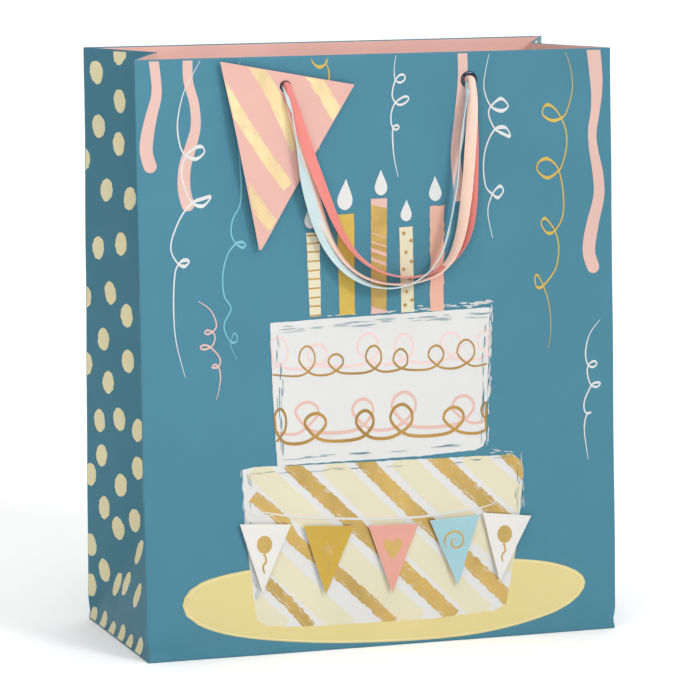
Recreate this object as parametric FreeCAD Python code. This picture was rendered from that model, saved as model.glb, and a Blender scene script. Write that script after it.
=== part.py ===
"""A laminated paper gift bag with ribbon handles, a hanging card tag and raised card pennants.

Millimetres. The origin is the middle of the base's underside, +Z is up and the front faces -Y.
"""
import FreeCAD, Part
import math
import os

from FreeCAD import Matrix, Placement, Rotation, Vector

# ---- driving dimensions -------------------------------------------------
WIDTH = 265.0                # across the front panel
DEPTH = 120.0                # front to back at the base
PANEL_HEIGHT = 315.0         # along the front and back panels
FRONT_LEAN = 13.0            # how far the front panel's top stands back from its foot
BACK_LEAN = 5.0              # the same for the back panel, towards the front
GUSSET_PUSH_TOP = 25.0       # how far each side's centre crease is pushed in at the mouth
GUSSET_PUSH_FOOT = 7.0       # and where the two corner creases meet it
CREASE_HEIGHT = DEPTH / 2    # height of that meeting point

PAPER = 0.4
HEM_HEIGHT = 40.0            # turned-in top hem
HEM_BOARD = 0.8              # card strip inside the front and back hems
HEM_END_GAP = 2.5            # hem end to the outside of the bag's corner
STACK = PAPER + HEM_BOARD + PAPER
FLAP_OVERLAP = 12.0          # each base flap passes the base's middle by this much
SIDE_FLAP_LENGTH = 72.0
SIDE_FLAP_TAPER = 14.0
BASE_BOARD_THICKNESS = 1.5
BASE_BOARD_MARGIN = 2.5
SEAM_FLAP_WIDTH = 15.0
SEAM_EDGE_GAP = 1.5
FIT_GAP = 0.1                # left between papers that lie side by side

EYELET_SPACING = 102.0
EYELET_DROP = 15.0           # eyelet centre below the top edge
EYELET_BORE_RADIUS = 2.5
EYELET_BARREL_RADIUS = 3.0
EYELET_FLANGE_RADIUS = 4.6
EYELET_CROWN = 0.95          # height of the front flange's rounded top
EYELET_WASHER = 0.5          # thickness of the rolled flange inside
PUNCH_CLEARANCE = 0.05

RIBBON_WIDTH = 6.5
RIBBON_THICKNESS = 0.6
RIBBON_LAYER = 0.8           # from one ribbon to the next one in front of it
PIVOT_STAND_OFF = 4.5        # handle hinge in front of the panel
NECK_RADIUS = 2.0            # ribbons gathered where they pass through an eyelet
NECK_REACH = 2.9             # neck's end in front of the panel
KNOT_RING = 3.4
KNOT_THICKNESS = 2.6
TAIL_LENGTH = 16.0

TAG_WIDTH = 75.0
TAG_HEIGHT = 93.0
TAG_CARD = 0.6
TAG_STAND_OFF = 2.2          # back of the tag in front of the panel
TAG_HOLE_RADIUS = 3.2
TAG_HOLE_DROP = 7.0          # tag hole below the middle of its short side
TAG_HANG = 0.7               # the hole sits this much lower and further out than the eyelet
TAG_TILT = -10.7             # degrees, clockwise seen from the front

PENNANT_WIDTH = 28.0
PENNANT_HEIGHT = 36.5
PENNANT_CARD = 0.5
FOAM_SIDE = 11.0
FOAM_THICKNESS = 1.5
FOAM_DROP = 10.0             # pad's centre below the pennant's top edge
# middle of each pennant's top edge across and up the panel, and its tilt in degrees
PENNANTS = ((-67.0, 70.0, -3.5), (-32.0, 67.0, -3.5), (4.0, 65.5, -1.5), (38.5, 67.0, 2.5), (68.5, 67.0, -7.0))

# Each ribbon of a handle hangs from the left eyelet to the right one: points across and up the panel.
RIBBON_ROUTES = {
    "coral": ((-51, 299), (-45, 277.5), (-34, 247), (-22, 218), (-8, 203), (12, 196), (30, 199), (43, 209),
              (50, 226), (51.5, 262), (51, 299)),
    "blue": ((-52, 299), (-49.5, 277), (-43, 250), (-35, 222), (-22, 202), (-3, 191), (16, 193), (30, 204),
             (37, 223), (42, 253), (45, 278), (49.5, 299)),
    "peach": ((-51, 299), (-46, 271), (-38, 243), (-29, 217), (-16, 200), (3, 193), (22, 194.5), (35, 201.5),
              (43, 216), (47.5, 243), (50, 272), (51, 299)),
}
ARC_SHARE = 0.45             # of the shorter run beside a corner, used by the corner's arc

HALF_WIDTH = WIDTH / 2
HALF_DEPTH = DEPTH / 2
FRONT_ANGLE = math.degrees(math.asin(FRONT_LEAN / PANEL_HEIGHT))
BACK_ANGLE = math.degrees(math.asin(BACK_LEAN / PANEL_HEIGHT))
EYELET_UP = PANEL_HEIGHT - EYELET_DROP
X_AXIS = Vector(1, 0, 0)
Y_AXIS = Vector(0, 1, 0)
Z_AXIS = Vector(0, 0, 1)

# A panel's own frame: X across it, Z up it, Y into the bag, with the origin at the foot of its outer face.
FRONT = Placement(Vector(0, -HALF_DEPTH, 0), Rotation(X_AXIS, -FRONT_ANGLE))
BACK = Placement(Vector(0, HALF_DEPTH, 0), Rotation(Z_AXIS, 180).multiply(Rotation(X_AXIS, -BACK_ANGLE)))
PANEL_FRAMES = {"front": FRONT, "back": BACK}


# ---- helpers ------------------------------------------------------------
def placed(shape, placement):
    """A copy of shape, moved from its own frame to the bag's."""
    return shape.transformed(placement.toMatrix(), True)


def slab(low, high):
    """A box between two opposite corners."""
    size = [b - a for a, b in zip(low, high)]
    return Part.makeBox(size[0], size[1], size[2], Vector(*low))


def prism(outline, start, thickness):
    """A plate in the panel's own frame: outline holds (across, up) points, start is its near face's Y."""
    points = [Vector(x, start, z) for x, z in outline]
    face = Part.Face(Part.makePolygon(points + points[:1]))
    return face.extrude(Vector(0, thickness, 0))


def turned(points, centre, degrees):
    """Points of a panel turned about centre, anticlockwise as seen from outside."""
    c, s = math.cos(math.radians(degrees)), math.sin(math.radians(degrees))
    return [(centre[0] + c * x - s * z, centre[1] + s * x + c * z) for x, z in points]


# ---- the folded paper: corners shared by neighbouring walls ---------------
def corner(x, y, z, inward):
    """The outer and inner point where walls meet: the inner one is one paper further in."""
    return Vector(x, y, z), Vector(x, y, z) + Vector(*inward) * PAPER


def bag_corners():
    front_top = Vector(FRONT.multVec(Vector(0, 0, PANEL_HEIGHT)))
    back_top = Vector(BACK.multVec(Vector(0, 0, PANEL_HEIGHT)))
    middle = (front_top + back_top) / 2
    found = {}
    for side, sign in (("left", -1), ("right", 1)):
        x, into = sign * HALF_WIDTH, -sign
        found[side, "front_foot"] = corner(x, -HALF_DEPTH, 0, (into, 1, 1))
        found[side, "back_foot"] = corner(x, HALF_DEPTH, 0, (into, -1, 1))
        found[side, "seam"] = corner(x, FLAP_OVERLAP, 0, (into, 0, 1))
        found[side, "front_top"] = corner(x, front_top.y, front_top.z, (into, 1, 0))
        found[side, "back_top"] = corner(x, back_top.y, back_top.z, (into, -1, 0))
        crease = x + into * GUSSET_PUSH_FOOT
        found[side, "crease"] = corner(crease, 0, CREASE_HEIGHT, (into, 0, 0))
        mouth = x + into * GUSSET_PUSH_TOP
        found[side, "mouth"] = corner(mouth, middle.y, middle.z, (into, 0, 0))
    return found


CORNERS = bag_corners()


def triangle(a, b, c):
    return Part.Face(Part.makePolygon([a, b, c, a]))


def wall(*triangles):
    """A paper wall made of outer triangles of named corners, closed by its inner copy and mitred edges."""
    faces, edges = [], {}
    for names in triangles:
        for layer in (0, 1):
            faces.append(triangle(*[CORNERS[n][layer] for n in names]))
        for a, b in zip(names, names[1:] + names[:1]):
            edges.setdefault(tuple(sorted((a, b))), []).append(names)
    for (a, b), users in edges.items():
        if len(users) == 1:
            outer_a, inner_a = CORNERS[a]
            outer_b, inner_b = CORNERS[b]
            faces.append(triangle(outer_a, outer_b, inner_b))
            faces.append(triangle(outer_a, inner_b, inner_a))
    solid = Part.Solid(Part.Shell(faces))
    if solid.Volume < 0:
        solid.reverse()
    return solid


def quad(a, b, c, d):
    """Two triangles over four corners in order."""
    return (a, b, c), (a, c, d)


def punched(shape):
    """shape in a panel's own frame with its two eyelet holes cut through."""
    for across in (-EYELET_SPACING / 2, EYELET_SPACING / 2):
        foot = Vector(across, -STACK, EYELET_UP)
        shape = shape.cut(Part.makeCylinder(EYELET_BARREL_RADIUS + PUNCH_CLEARANCE, 4 * STACK, foot, Y_AXIS))
    return shape


def main_panels(parts):
    for name, placement in PANEL_FRAMES.items():
        low, high = name + "_foot", name + "_top"
        panel = wall(*quad(("left", low), ("right", low), ("right", high), ("left", high)))
        own = placed(panel, placement.inverse())
        parts[name + "_panel"] = placed(punched(own), placement)


def gussets(parts):
    """Each side is a low triangle and two halves that fold in along the centre crease."""
    for side in ("left", "right"):
        crease, mouth = (side, "crease"), (side, "mouth")
        feet = (side, "back_foot"), (side, "front_foot")
        parts[side + "_gusset_foot"] = wall((feet[0], feet[1], crease))
        for half in ("front", "back"):
            foot, top = (side, half + "_foot"), (side, half + "_top")
            parts[f"{side}_gusset_{half}"] = wall((foot, crease, top), (crease, mouth, top))


def mouth_space():
    """The space inside both stiffened hems, from the hem's lower edge up."""
    tall = PANEL_HEIGHT + HEM_HEIGHT
    low = (-WIDTH, STACK + FIT_GAP, -HEM_HEIGHT)
    high = (WIDTH, DEPTH + HEM_HEIGHT, tall)
    between = placed(slab(low, high), FRONT).common(placed(slab(low, high), BACK))
    above = slab((-WIDTH, -DEPTH, PANEL_HEIGHT - HEM_HEIGHT), (WIDTH, DEPTH, tall))
    return between.common(above)


def hems(parts):
    """The top edge is turned in all round. The front and back hems hold a strip of card."""
    end = HALF_WIDTH - HEM_END_GAP
    low = PANEL_HEIGHT - HEM_HEIGHT
    inside = STACK - PAPER
    for name, placement in PANEL_FRAMES.items():
        turned_in = slab((-end, inside, low), (end, STACK, PANEL_HEIGHT))
        fold = slab((-end, PAPER, PANEL_HEIGHT - PAPER), (end, STACK, PANEL_HEIGHT))
        board = slab((-end, PAPER, low + PAPER), (end, inside, PANEL_HEIGHT - PAPER))
        parts[name + "_hem"] = placed(punched(turned_in.fuse(fold).removeSplitter()), placement)
        parts[name + "_hem_board"] = placed(punched(board), placement)
    space = mouth_space()
    for side, inward in (("left", PAPER), ("right", -PAPER)):
        halves = []
        for half in ("front", "back"):
            lining = parts[f"{side}_gusset_{half}"].translated(Vector(inward, 0, 0))
            halves += lining.common(space).Solids
        parts[side + "_gusset_hem"] = Part.makeCompound(halves)


def base(parts):
    """Glued block bottom: side flaps inside, then the back flap, with the front flap outermost."""
    parts["base_front_flap"] = wall(*quad(*[(s, c) for s, c in (
        ("left", "front_foot"), ("right", "front_foot"), ("right", "seam"), ("left", "seam"))]))
    back = wall(*quad(*[(s, c) for s, c in (
        ("left", "seam"), ("right", "seam"), ("right", "back_foot"), ("left", "back_foot"))]))
    end = HALF_WIDTH - SEAM_EDGE_GAP
    tongue = slab((-end, -FLAP_OVERLAP, PAPER), (end, FLAP_OVERLAP + PAPER, 2 * PAPER))
    parts["base_back_flap"] = back.fuse(tongue)

    wide = HALF_DEPTH - SEAM_EDGE_GAP
    narrow = wide - SIDE_FLAP_TAPER
    for side, sign in (("left", -1), ("right", 1)):
        free = sign * (end - SIDE_FLAP_LENGTH)
        outline = [(sign * end, -wide), (sign * end, wide), (free, narrow), (free, -narrow)]
        points = [Vector(x, y, 2 * PAPER) for x, y in outline]
        face = Part.Face(Part.makePolygon(points + points[:1]))
        parts[f"base_{side}_flap"] = face.extrude(Vector(0, 0, PAPER))
    long, short = HALF_WIDTH - BASE_BOARD_MARGIN, HALF_DEPTH - BASE_BOARD_MARGIN
    level = 3 * PAPER
    parts["base_board"] = slab((-long, -short, level), (long, short, level + BASE_BOARD_THICKNESS))

    outer = HALF_WIDTH - SEAM_EDGE_GAP
    seam_low = level + BASE_BOARD_THICKNESS
    seam_high = PANEL_HEIGHT - HEM_HEIGHT - FIT_GAP
    seam = slab((outer - SEAM_FLAP_WIDTH, PAPER, seam_low), (outer, 2 * PAPER, seam_high))
    parts["side_seam_flap"] = placed(seam, BACK)


# ---- eyelets, knots and ribbons ------------------------------------------
def eyelet():
    """A rolled metal eyelet about the Y axis: crowned flange outside, barrel and flat flange inside."""
    inner, barrel, rim = EYELET_BORE_RADIUS, EYELET_BARREL_RADIUS, EYELET_FLANGE_RADIUS
    back = STACK + EYELET_WASHER
    points = [Vector(r, y, 0) for r, y in
              ((inner, 0), (inner, back), (rim - 0.2, back), (rim - 0.2, STACK), (barrel, STACK), (barrel, 0),
               (rim, 0))]
    edges = [Part.LineSegment(a, b).toShape() for a, b in zip(points, points[1:])]
    crown = Vector((inner + rim) / 2, -EYELET_CROWN, 0)
    edges.append(Part.Arc(points[-1], crown, points[0]).toShape())
    return Part.Face(Part.Wire(edges)).revolve(Vector(0, 0, 0), Y_AXIS, 360)


def knot():
    """The three ribbons gathered through the eyelet and knotted inside the bag, with cut tails."""
    back = STACK + EYELET_WASHER
    neck = Part.makeCylinder(NECK_RADIUS, NECK_REACH + back + KNOT_THICKNESS,
                             Vector(0, -NECK_REACH, 0), Y_AXIS)
    ring = Part.makeTorus(KNOT_RING, KNOT_THICKNESS, Vector(0, back + KNOT_THICKNESS, 0), Y_AXIS)
    tails = slab((-RIBBON_WIDTH / 2, back + KNOT_THICKNESS, -TAIL_LENGTH),
                 (RIBBON_WIDTH / 2, back + KNOT_THICKNESS + 3 * RIBBON_THICKNESS, 0))
    return neck.fuse([ring, tails]).removeSplitter()


def eyelets_and_knots(parts):
    for name, placement in PANEL_FRAMES.items():
        hands = (("left", -1), ("right", 1)) if name == "front" else (("left", 1), ("right", -1))
        for hand, sign in hands:
            at = placement.multiply(Placement(Vector(sign * EYELET_SPACING / 2, 0, EYELET_UP), Rotation()))
            parts[f"{name}_{hand}_eyelet"] = placed(eyelet(), at)
            parts[f"{name}_{hand}_knot"] = placed(knot(), at)


def ribbon_path(route):
    """Straight runs and tangent arcs over route, as (start, middle or None, end) pieces of a plane line."""
    points = [Vector(x, 0, z) for x, z in route]
    pieces, at, radii = [], points[0], []
    for before, here, after in zip(points, points[1:], points[2:]):
        come, go = here - before, after - here
        reach = ARC_SHARE * min(come.Length, go.Length)
        turn = come.getAngle(go)
        radius = reach / math.tan(turn / 2)
        radii.append(radius)
        enter = here - come.normalize() * reach
        leave = here + go.normalize() * reach
        inwards = (enter + leave) / 2 - here
        height = radius / math.cos(turn / 2) - radius
        middle = here + inwards.normalize() * height
        pieces += [(at, None, enter), (enter, middle, leave)]
        at = leave
    pieces.append((at, None, points[-1]))
    return pieces, radii


def ribbon(route, stand_off):
    """A flat band of ribbon width over the route, stand_off in front of the panel."""
    pieces, radii = ribbon_path(route)
    half = RIBBON_WIDTH / 2
    band = None
    length = 0
    for start, middle, end in pieces:
        if middle is None:
            across = (end - start).cross(Y_AXIS).normalize() * half
            edge = Part.LineSegment(start, end).toShape()
            corners = [start - across, end - across, end + across, start + across]
            face = Part.Face(Part.makePolygon(corners + corners[:1]))
        else:
            edge = Part.Arc(start, middle, end).toShape()
            centre = edge.Curve.Center
            sides = []
            for grow in (-half, half):
                sides.append([p + (p - centre).normalize() * grow for p in (start, middle, end)])
            near, far = sides
            face = Part.Face(Part.Wire([
                Part.Arc(*near).toShape(), Part.LineSegment(near[2], far[2]).toShape(),
                Part.Arc(far[2], far[1], far[0]).toShape(), Part.LineSegment(far[0], near[0]).toShape()]))
        length += edge.Length
        solid = face.extrude(Vector(0, RIBBON_THICKNESS, 0))
        band = solid if band is None else band.fuse(solid)
    band = band.removeSplitter().translated(Vector(0, -stand_off - RIBBON_THICKNESS / 2, 0))
    return band, length, radii


def handles(parts):
    """Three ribbons a handle, one in front of the other round the hinge line."""
    for name, placement in PANEL_FRAMES.items():
        for layer, (colour, route) in enumerate(RIBBON_ROUTES.items()):
            stand_off = PIVOT_STAND_OFF + (layer - 1) * RIBBON_LAYER
            band, length, radii = ribbon(route, stand_off)
            parts[f"{name}_{colour}_ribbon"] = placed(band, placement)
            expected = length * RIBBON_WIDTH * RIBBON_THICKNESS
            print(f"{name} {colour}: {length:.1f} mm, volume / section x length "
                  f"{band.Volume / expected:.4f}, radii", [round(r) for r in radii])


# ---- tag and pennants -----------------------------------------------------
def gift_tag(parts):
    """An isosceles card triangle, short side up, hung by a hole near the middle of that side."""
    outline = [(-TAG_WIDTH / 2, TAG_HOLE_DROP), (TAG_WIDTH / 2, TAG_HOLE_DROP),
               (0, TAG_HOLE_DROP - TAG_HEIGHT)]
    hole = (-EYELET_SPACING / 2 - TAG_HANG, EYELET_UP - TAG_HANG)
    card = prism(turned(outline, hole, TAG_TILT), -TAG_STAND_OFF - TAG_CARD, TAG_CARD)
    punch = Part.makeCylinder(TAG_HOLE_RADIUS, TAG_STAND_OFF + 2 * TAG_CARD,
                              Vector(hole[0], -TAG_STAND_OFF - 2 * TAG_CARD, hole[1]), Y_AXIS)
    parts["gift_tag"] = placed(card.cut(punch), FRONT)
    print("tag hinge", FRONT.multVec(Vector(hole[0], -TAG_STAND_OFF, hole[1])),
          "axis", FRONT.Rotation.multVec(Vector(0, -1, 0)))


def pennants(parts):
    """Five card triangles, points down, each on a foam pad on the front panel."""
    half = PENNANT_WIDTH / 2
    pad = FOAM_SIDE / 2
    for number, (across, up, tilt) in enumerate(PENNANTS, 1):
        outline = [(-half, 0), (half, 0), (0, -PENNANT_HEIGHT)]
        square = [(-pad, pad - FOAM_DROP), (pad, pad - FOAM_DROP), (pad, -pad - FOAM_DROP),
                  (-pad, -pad - FOAM_DROP)]
        card = prism(turned(outline, (across, up), tilt), -FOAM_THICKNESS - PENNANT_CARD, PENNANT_CARD)
        foam = prism(turned(square, (across, up), tilt), -FOAM_THICKNESS, FOAM_THICKNESS)
        parts[f"pennant_{number}"] = placed(card, FRONT)
        parts[f"foam_pad_{number}"] = placed(foam, FRONT)


def build():
    parts = {}
    main_panels(parts)
    gussets(parts)
    hems(parts)
    base(parts)
    eyelets_and_knots(parts)
    handles(parts)
    gift_tag(parts)
    pennants(parts)
    return parts


os.makedirs("parts", exist_ok=True)
for node, shape in build().items():
    shape.exportStep(f"parts/{node}.step")
    if not shape.isValid() or shape.Volume <= 0:
        print("check", node, shape.isValid(), shape.Volume)
for name, placement in PANEL_FRAMES.items():
    print(name, "hinge", placement.multVec(Vector(0, -PIVOT_STAND_OFF, EYELET_UP)))
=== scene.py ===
"""The looks of a laminated paper gift bag with ribbon handles, a card tag and raised card pennants.

Blender works in metres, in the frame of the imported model. Printed designs are drawn in millimetres
across and up the wall that carries them.
"""
import math
import random
from bisect import bisect_right

import bpy
from mathutils import Matrix, Vector, noise
from mathutils.geometry import delaunay_2d_cdt


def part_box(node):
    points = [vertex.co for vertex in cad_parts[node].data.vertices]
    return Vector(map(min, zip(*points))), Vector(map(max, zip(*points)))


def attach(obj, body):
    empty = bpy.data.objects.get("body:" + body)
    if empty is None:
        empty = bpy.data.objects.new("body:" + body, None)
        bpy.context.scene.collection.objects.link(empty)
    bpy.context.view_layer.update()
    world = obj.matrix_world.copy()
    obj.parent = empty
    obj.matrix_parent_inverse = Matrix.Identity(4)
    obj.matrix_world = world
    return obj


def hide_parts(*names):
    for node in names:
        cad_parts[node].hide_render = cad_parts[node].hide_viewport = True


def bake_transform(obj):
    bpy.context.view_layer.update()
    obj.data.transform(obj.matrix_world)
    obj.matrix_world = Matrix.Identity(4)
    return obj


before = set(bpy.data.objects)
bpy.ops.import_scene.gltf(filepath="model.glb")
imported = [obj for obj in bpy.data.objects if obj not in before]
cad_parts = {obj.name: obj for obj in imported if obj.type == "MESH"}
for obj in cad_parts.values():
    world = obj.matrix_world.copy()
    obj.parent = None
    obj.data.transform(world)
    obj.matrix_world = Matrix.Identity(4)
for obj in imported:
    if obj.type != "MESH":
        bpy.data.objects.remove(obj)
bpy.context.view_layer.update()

MM = 0.001
PAPER = 0.4 * MM

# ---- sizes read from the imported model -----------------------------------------
front_low, front_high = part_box("front_panel")
back_low, back_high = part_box("back_panel")
HALF_WIDTH = front_high.x
HALF_DEPTH = back_high.y
FRONT_LEAN = front_high.y - front_low.y - PAPER
BACK_LEAN = back_high.y - back_low.y - PAPER
PANEL_HEIGHT = math.hypot(front_high.z, FRONT_LEAN)
PUSH_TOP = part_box("left_gusset_front")[1].x - PAPER + HALF_WIDTH
CREASE_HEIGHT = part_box("left_gusset_foot")[1].z
HEM_HEIGHT = 40 * MM
HEM_FOOT = PANEL_HEIGHT - HEM_HEIGHT
EYELET_ACROSS = (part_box("front_right_eyelet")[0].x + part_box("front_right_eyelet")[1].x) / 2
EYELET_DROP = 15 * MM         # eyelet's middle below the mouth
EYELET_UP = PANEL_HEIGHT - EYELET_DROP
X_AXIS = Vector((1, 0, 0))
Z_AXIS = Vector((0, 0, 1))


def panel_frame(side):
    """Foot, across, up and outward directions of the front or back panel's outer face."""
    turn = -1 if side == "back" else 1
    lean = math.asin((BACK_LEAN if side == "back" else FRONT_LEAN) / PANEL_HEIGHT)
    foot = Vector((0, -HALF_DEPTH * turn, 0))
    up = Vector((0, math.sin(lean) * turn, math.cos(lean)))
    out = Vector((0, -math.cos(lean) * turn, math.sin(lean)))
    return foot, X_AXIS * turn, up, out


PANELS = {side: panel_frame(side) for side in ("front", "back")}


def on_panel(side, across, up, out=0.0):
    """A point of a panel's own frame, as a point of the bag's."""
    foot, x, v, n = PANELS[side]
    return foot + x * across + v * up + n * out


# ---- camera --------------------------------------------------------------------
CAMERA_AIM = Vector((-0.00016, -0.00112, 0.15132))
CAMERA_DISTANCE = 2.13076
CAMERA_YAW = 18.571          # degrees to the left of the front
CAMERA_PITCH = 8.259         # degrees downwards
CAMERA_ROLL = -0.17
CAMERA_LENS = 202.29         # on a 36 mm wide sensor


def add_camera():
    data = bpy.data.cameras.new("camera")
    data.lens = CAMERA_LENS
    data.clip_start, data.clip_end = 0.05, 200
    camera = bpy.data.objects.new("camera", data)
    bpy.context.scene.collection.objects.link(camera)
    yaw, pitch = math.radians(CAMERA_YAW), math.radians(CAMERA_PITCH)
    look = Vector((math.sin(yaw) * math.cos(pitch), math.cos(yaw) * math.cos(pitch), -math.sin(pitch)))
    camera.location = CAMERA_AIM - look * CAMERA_DISTANCE
    roll = Matrix.Rotation(math.radians(CAMERA_ROLL), 3, "Z")
    camera.rotation_mode = "QUATERNION"
    camera.rotation_quaternion = (look.to_track_quat("-Z", "Y").to_matrix() @ roll).to_quaternion()
    bpy.context.scene.camera = camera


add_camera()


# ---- materials -----------------------------------------------------------------
def linear(red, green, blue):
    """A display colour from 0 to 255, as the linear colour that shaders use."""
    channels = [c / 255 for c in (red, green, blue)]
    return tuple(c / 12.92 if c <= 0.04045 else ((c + 0.055) / 1.055) ** 2.4 for c in channels) + (1,)


class Shader:
    """A node material with short names for what these materials need."""

    def __init__(self, name, roughness, metallic=0.0, specular=0.5):
        self.material = bpy.data.materials.new(name)
        self.material.use_nodes = True
        self.tree = self.material.node_tree
        self.surface = self.tree.nodes["Principled BSDF"]
        self.surface.inputs["Roughness"].default_value = roughness
        self.surface.inputs["Metallic"].default_value = metallic
        self.surface.inputs["Specular IOR Level"].default_value = specular
        self.place = self.node("ShaderNodeTexCoord").outputs["Object"]

    def node(self, kind, links=(), **values):
        made = self.tree.nodes.new(kind)
        for key, value in values.items():
            setattr(made, key, value)
        for socket, source in dict(links).items():
            if isinstance(source, bpy.types.NodeSocket):
                self.tree.links.new(source, made.inputs[socket])
            else:
                made.inputs[socket].default_value = source
        return made

    def noise(self, scale, detail, stretch=None):
        """Noise from 0 to 1 with scale cycles a metre, stretched along the axes."""
        place = self.place
        if stretch:
            mapping = self.node("ShaderNodeMapping", {"Vector": place})
            mapping.inputs["Scale"].default_value = stretch
            place = mapping.outputs["Vector"]
        made = self.node("ShaderNodeTexNoise", {"Vector": place, "Scale": scale, "Detail": detail})
        return made.outputs["Fac"]

    def spread(self, value, low, high, to_low, to_high):
        """value from low to high, as a number from to_low to to_high."""
        made = self.node("ShaderNodeMapRange", {"Value": value, "From Min": low, "From Max": high,
                                                "To Min": to_low, "To Max": to_high})
        return made.outputs["Result"]

    def calc(self, operation, *values):
        return self.node("ShaderNodeMath", dict(enumerate(values)), operation=operation).outputs[0]

    def blend(self, factor, first, second):
        """first where factor is 0 and second where it is 1."""
        made = self.node("ShaderNodeMix", data_type="RGBA")
        self.tree.links.new(factor, made.inputs["Factor"])
        for socket, colour in (("A", first), ("B", second)):
            target = [s for s in made.inputs if s.name == socket and s.type == "RGBA"][0]
            if isinstance(colour, bpy.types.NodeSocket):
                self.tree.links.new(colour, target)
            else:
                target.default_value = colour
        return [s for s in made.outputs if s.type == "RGBA"][0]

    def colour(self, socket):
        self.tree.links.new(socket, self.surface.inputs["Base Color"])

    def roughness(self, socket):
        self.tree.links.new(socket, self.surface.inputs["Roughness"])

    def bump(self, height, depth, strength):
        """Relief of depth metres where height goes from 0 to 1, on top of any given before."""
        made = self.node("ShaderNodeBump", {"Height": height, "Distance": depth, "Strength": strength})
        before = self.surface.inputs["Normal"].links
        if before:
            self.tree.links.new(before[0].from_socket, made.inputs["Normal"])
        self.tree.links.new(made.outputs["Normal"], self.surface.inputs["Normal"])


def shade(colour, factor):
    return tuple(min(1.0, c * factor) for c in colour[:3]) + (1,)


def printed(name, colour, roughness, cloud):
    """Ink on laminated paper: faint cloudiness, the film's slight ripple and fine grain."""
    made = Shader(name, roughness, specular=0.07)
    cloudy = made.spread(made.noise(28, 4), 0.3, 0.7, 0, 1)
    made.colour(made.blend(cloudy, shade(colour, 1 - cloud), shade(colour, 1 + cloud)))
    made.roughness(made.spread(made.noise(90, 3), 0.3, 0.7, roughness - 0.05, roughness + 0.06))
    made.bump(made.noise(55, 2), 0.25 * MM, 0.25)
    made.bump(made.noise(2600, 2), 0.01 * MM, 0.5)
    return made.material


def foil(name, colour, metallic=1.0):
    """Hot-stamped metal foil: mirror-like, a little wrinkled, brighter and darker in strokes."""
    made = Shader(name, 0.3, metallic=metallic)
    strokes = made.spread(made.noise(38, 3, (1, 1, 0.5)), 0.35, 0.65, 0, 1)
    made.colour(made.blend(strokes, shade(colour, 0.84), shade(colour, 1.12)))
    made.roughness(made.spread(made.noise(140, 3), 0.3, 0.7, 0.28, 0.45))
    made.bump(made.noise(160, 3), 0.08 * MM, 0.5)
    return made.material


def stock(name, colour, roughness=0.75):
    """Bare paper or card with its fibres."""
    made = Shader(name, roughness, specular=0.3)
    fibre = made.noise(1500, 5, (1, 0.35, 1))
    made.colour(made.blend(made.spread(fibre, 0.3, 0.7, 0, 1), shade(colour, 0.94), shade(colour, 1.03)))
    made.bump(fibre, 0.03 * MM, 0.6)
    return made.material


RIB_PITCH = 0.55             # millimetres from one cross rib of the ribbon to the next


def ribbon_weave(name, colour):
    """Taffeta ribbon: fine cross ribs, woven selvedges and a soft sheen. Its U runs along, its V across."""
    made = Shader(name, 0.55, specular=0.4)
    made.surface.inputs["Sheen Weight"].default_value = 0.35
    made.surface.inputs["Sheen Roughness"].default_value = 0.4
    split = made.node("ShaderNodeSeparateXYZ", {"Vector": made.node("ShaderNodeTexCoord").outputs["UV"]})
    ribs = made.calc("MULTIPLY", split.outputs["X"], math.tau / RIB_PITCH)
    ribs = made.spread(made.calc("SINE", ribs), -1, 1, 0, 1)
    edge = made.calc("ABSOLUTE", made.calc("SUBTRACT", split.outputs["Y"], 0.5))
    edge = made.spread(edge, 0.43, 0.47, 0, 1)
    threads = made.noise(1400, 2)
    tone = made.blend(made.spread(threads, 0.3, 0.7, 0, 1), shade(colour, 0.93), shade(colour, 1.05))
    # painted shade: darker in the grooves between the cross ribs, where the rib relief is low
    tone = made.blend(made.spread(ribs, 0, 1, 0.14, 0), tone, shade(colour, 0.55))
    tone = made.blend(made.spread(edge, 0, 1, 0, 0.35), tone, shade(colour, 1.2))
    made.colour(tone)
    made.bump(ribs, 0.06 * MM, 0.6)
    made.bump(edge, 0.05 * MM, 0.5)
    return made.material


def gunmetal():
    made = Shader("eyelet_gunmetal", 0.28, metallic=1.0)
    wear = made.spread(made.noise(900, 3), 0.4, 0.7, 0, 1)
    made.colour(made.blend(wear, linear(52, 58, 74), linear(96, 102, 118)))
    made.roughness(made.spread(made.noise(1600, 2), 0.3, 0.7, 0.2, 0.4))
    return made.material


def foam():
    made = Shader("foam_white", 0.9, specular=0.1)
    cells = made.node("ShaderNodeTexVoronoi", {"Vector": made.place, "Scale": 2600.0}).outputs["Distance"]
    made.colour(made.blend(cells, linear(238, 238, 234), linear(200, 200, 196)))
    made.bump(cells, 0.12 * MM, 0.8)
    return made.material


# printed colours from 0 to 255, and how cloudy each is
INK_COLOURS = {
    "teal": ((74, 126, 144), 0.03),
    "pink_hem": ((246, 198, 188), 0.05),
    "white": ((209, 209, 207), 0.015),
    "cream": ((212, 205, 178), 0.03),
    "plate": ((212, 197, 138), 0.02),
    "plate_rim": ((220, 210, 166), 0.02),
    "dot": ((232, 222, 180), 0.03),
    "pink": ((212, 176, 166), 0.03),
    "pink_pale": ((222, 196, 192), 0.03),
    "pale_blue": ((120, 178, 194), 0.03),
    "mustard": ((196, 168, 84), 0.04),
    "salmon": ((214, 166, 148), 0.04),
}
CARD_COLOURS = {
    "tag_card": ((213, 168, 158), 0.03),
    "card_white": ((214, 213, 208), 0.02),
    "card_mustard": ((188, 156, 68), 0.04),
    "card_pink": ((212, 153, 139), 0.04),
    "card_blue": ((152, 190, 198), 0.03),
}
INK = {key: printed("print_" + key, linear(*colour), 0.4 if key == "teal" else 0.5, cloud)
       for key, (colour, cloud) in INK_COLOURS.items()}
INK["foil"] = foil("foil_gold", linear(203, 171, 104))
INK["foil_deep"] = foil("foil_deep_gold", linear(190, 150, 84))
INK["foil_pale"] = foil("foil_pale_gold", linear(238, 214, 164), 0.45)
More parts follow.
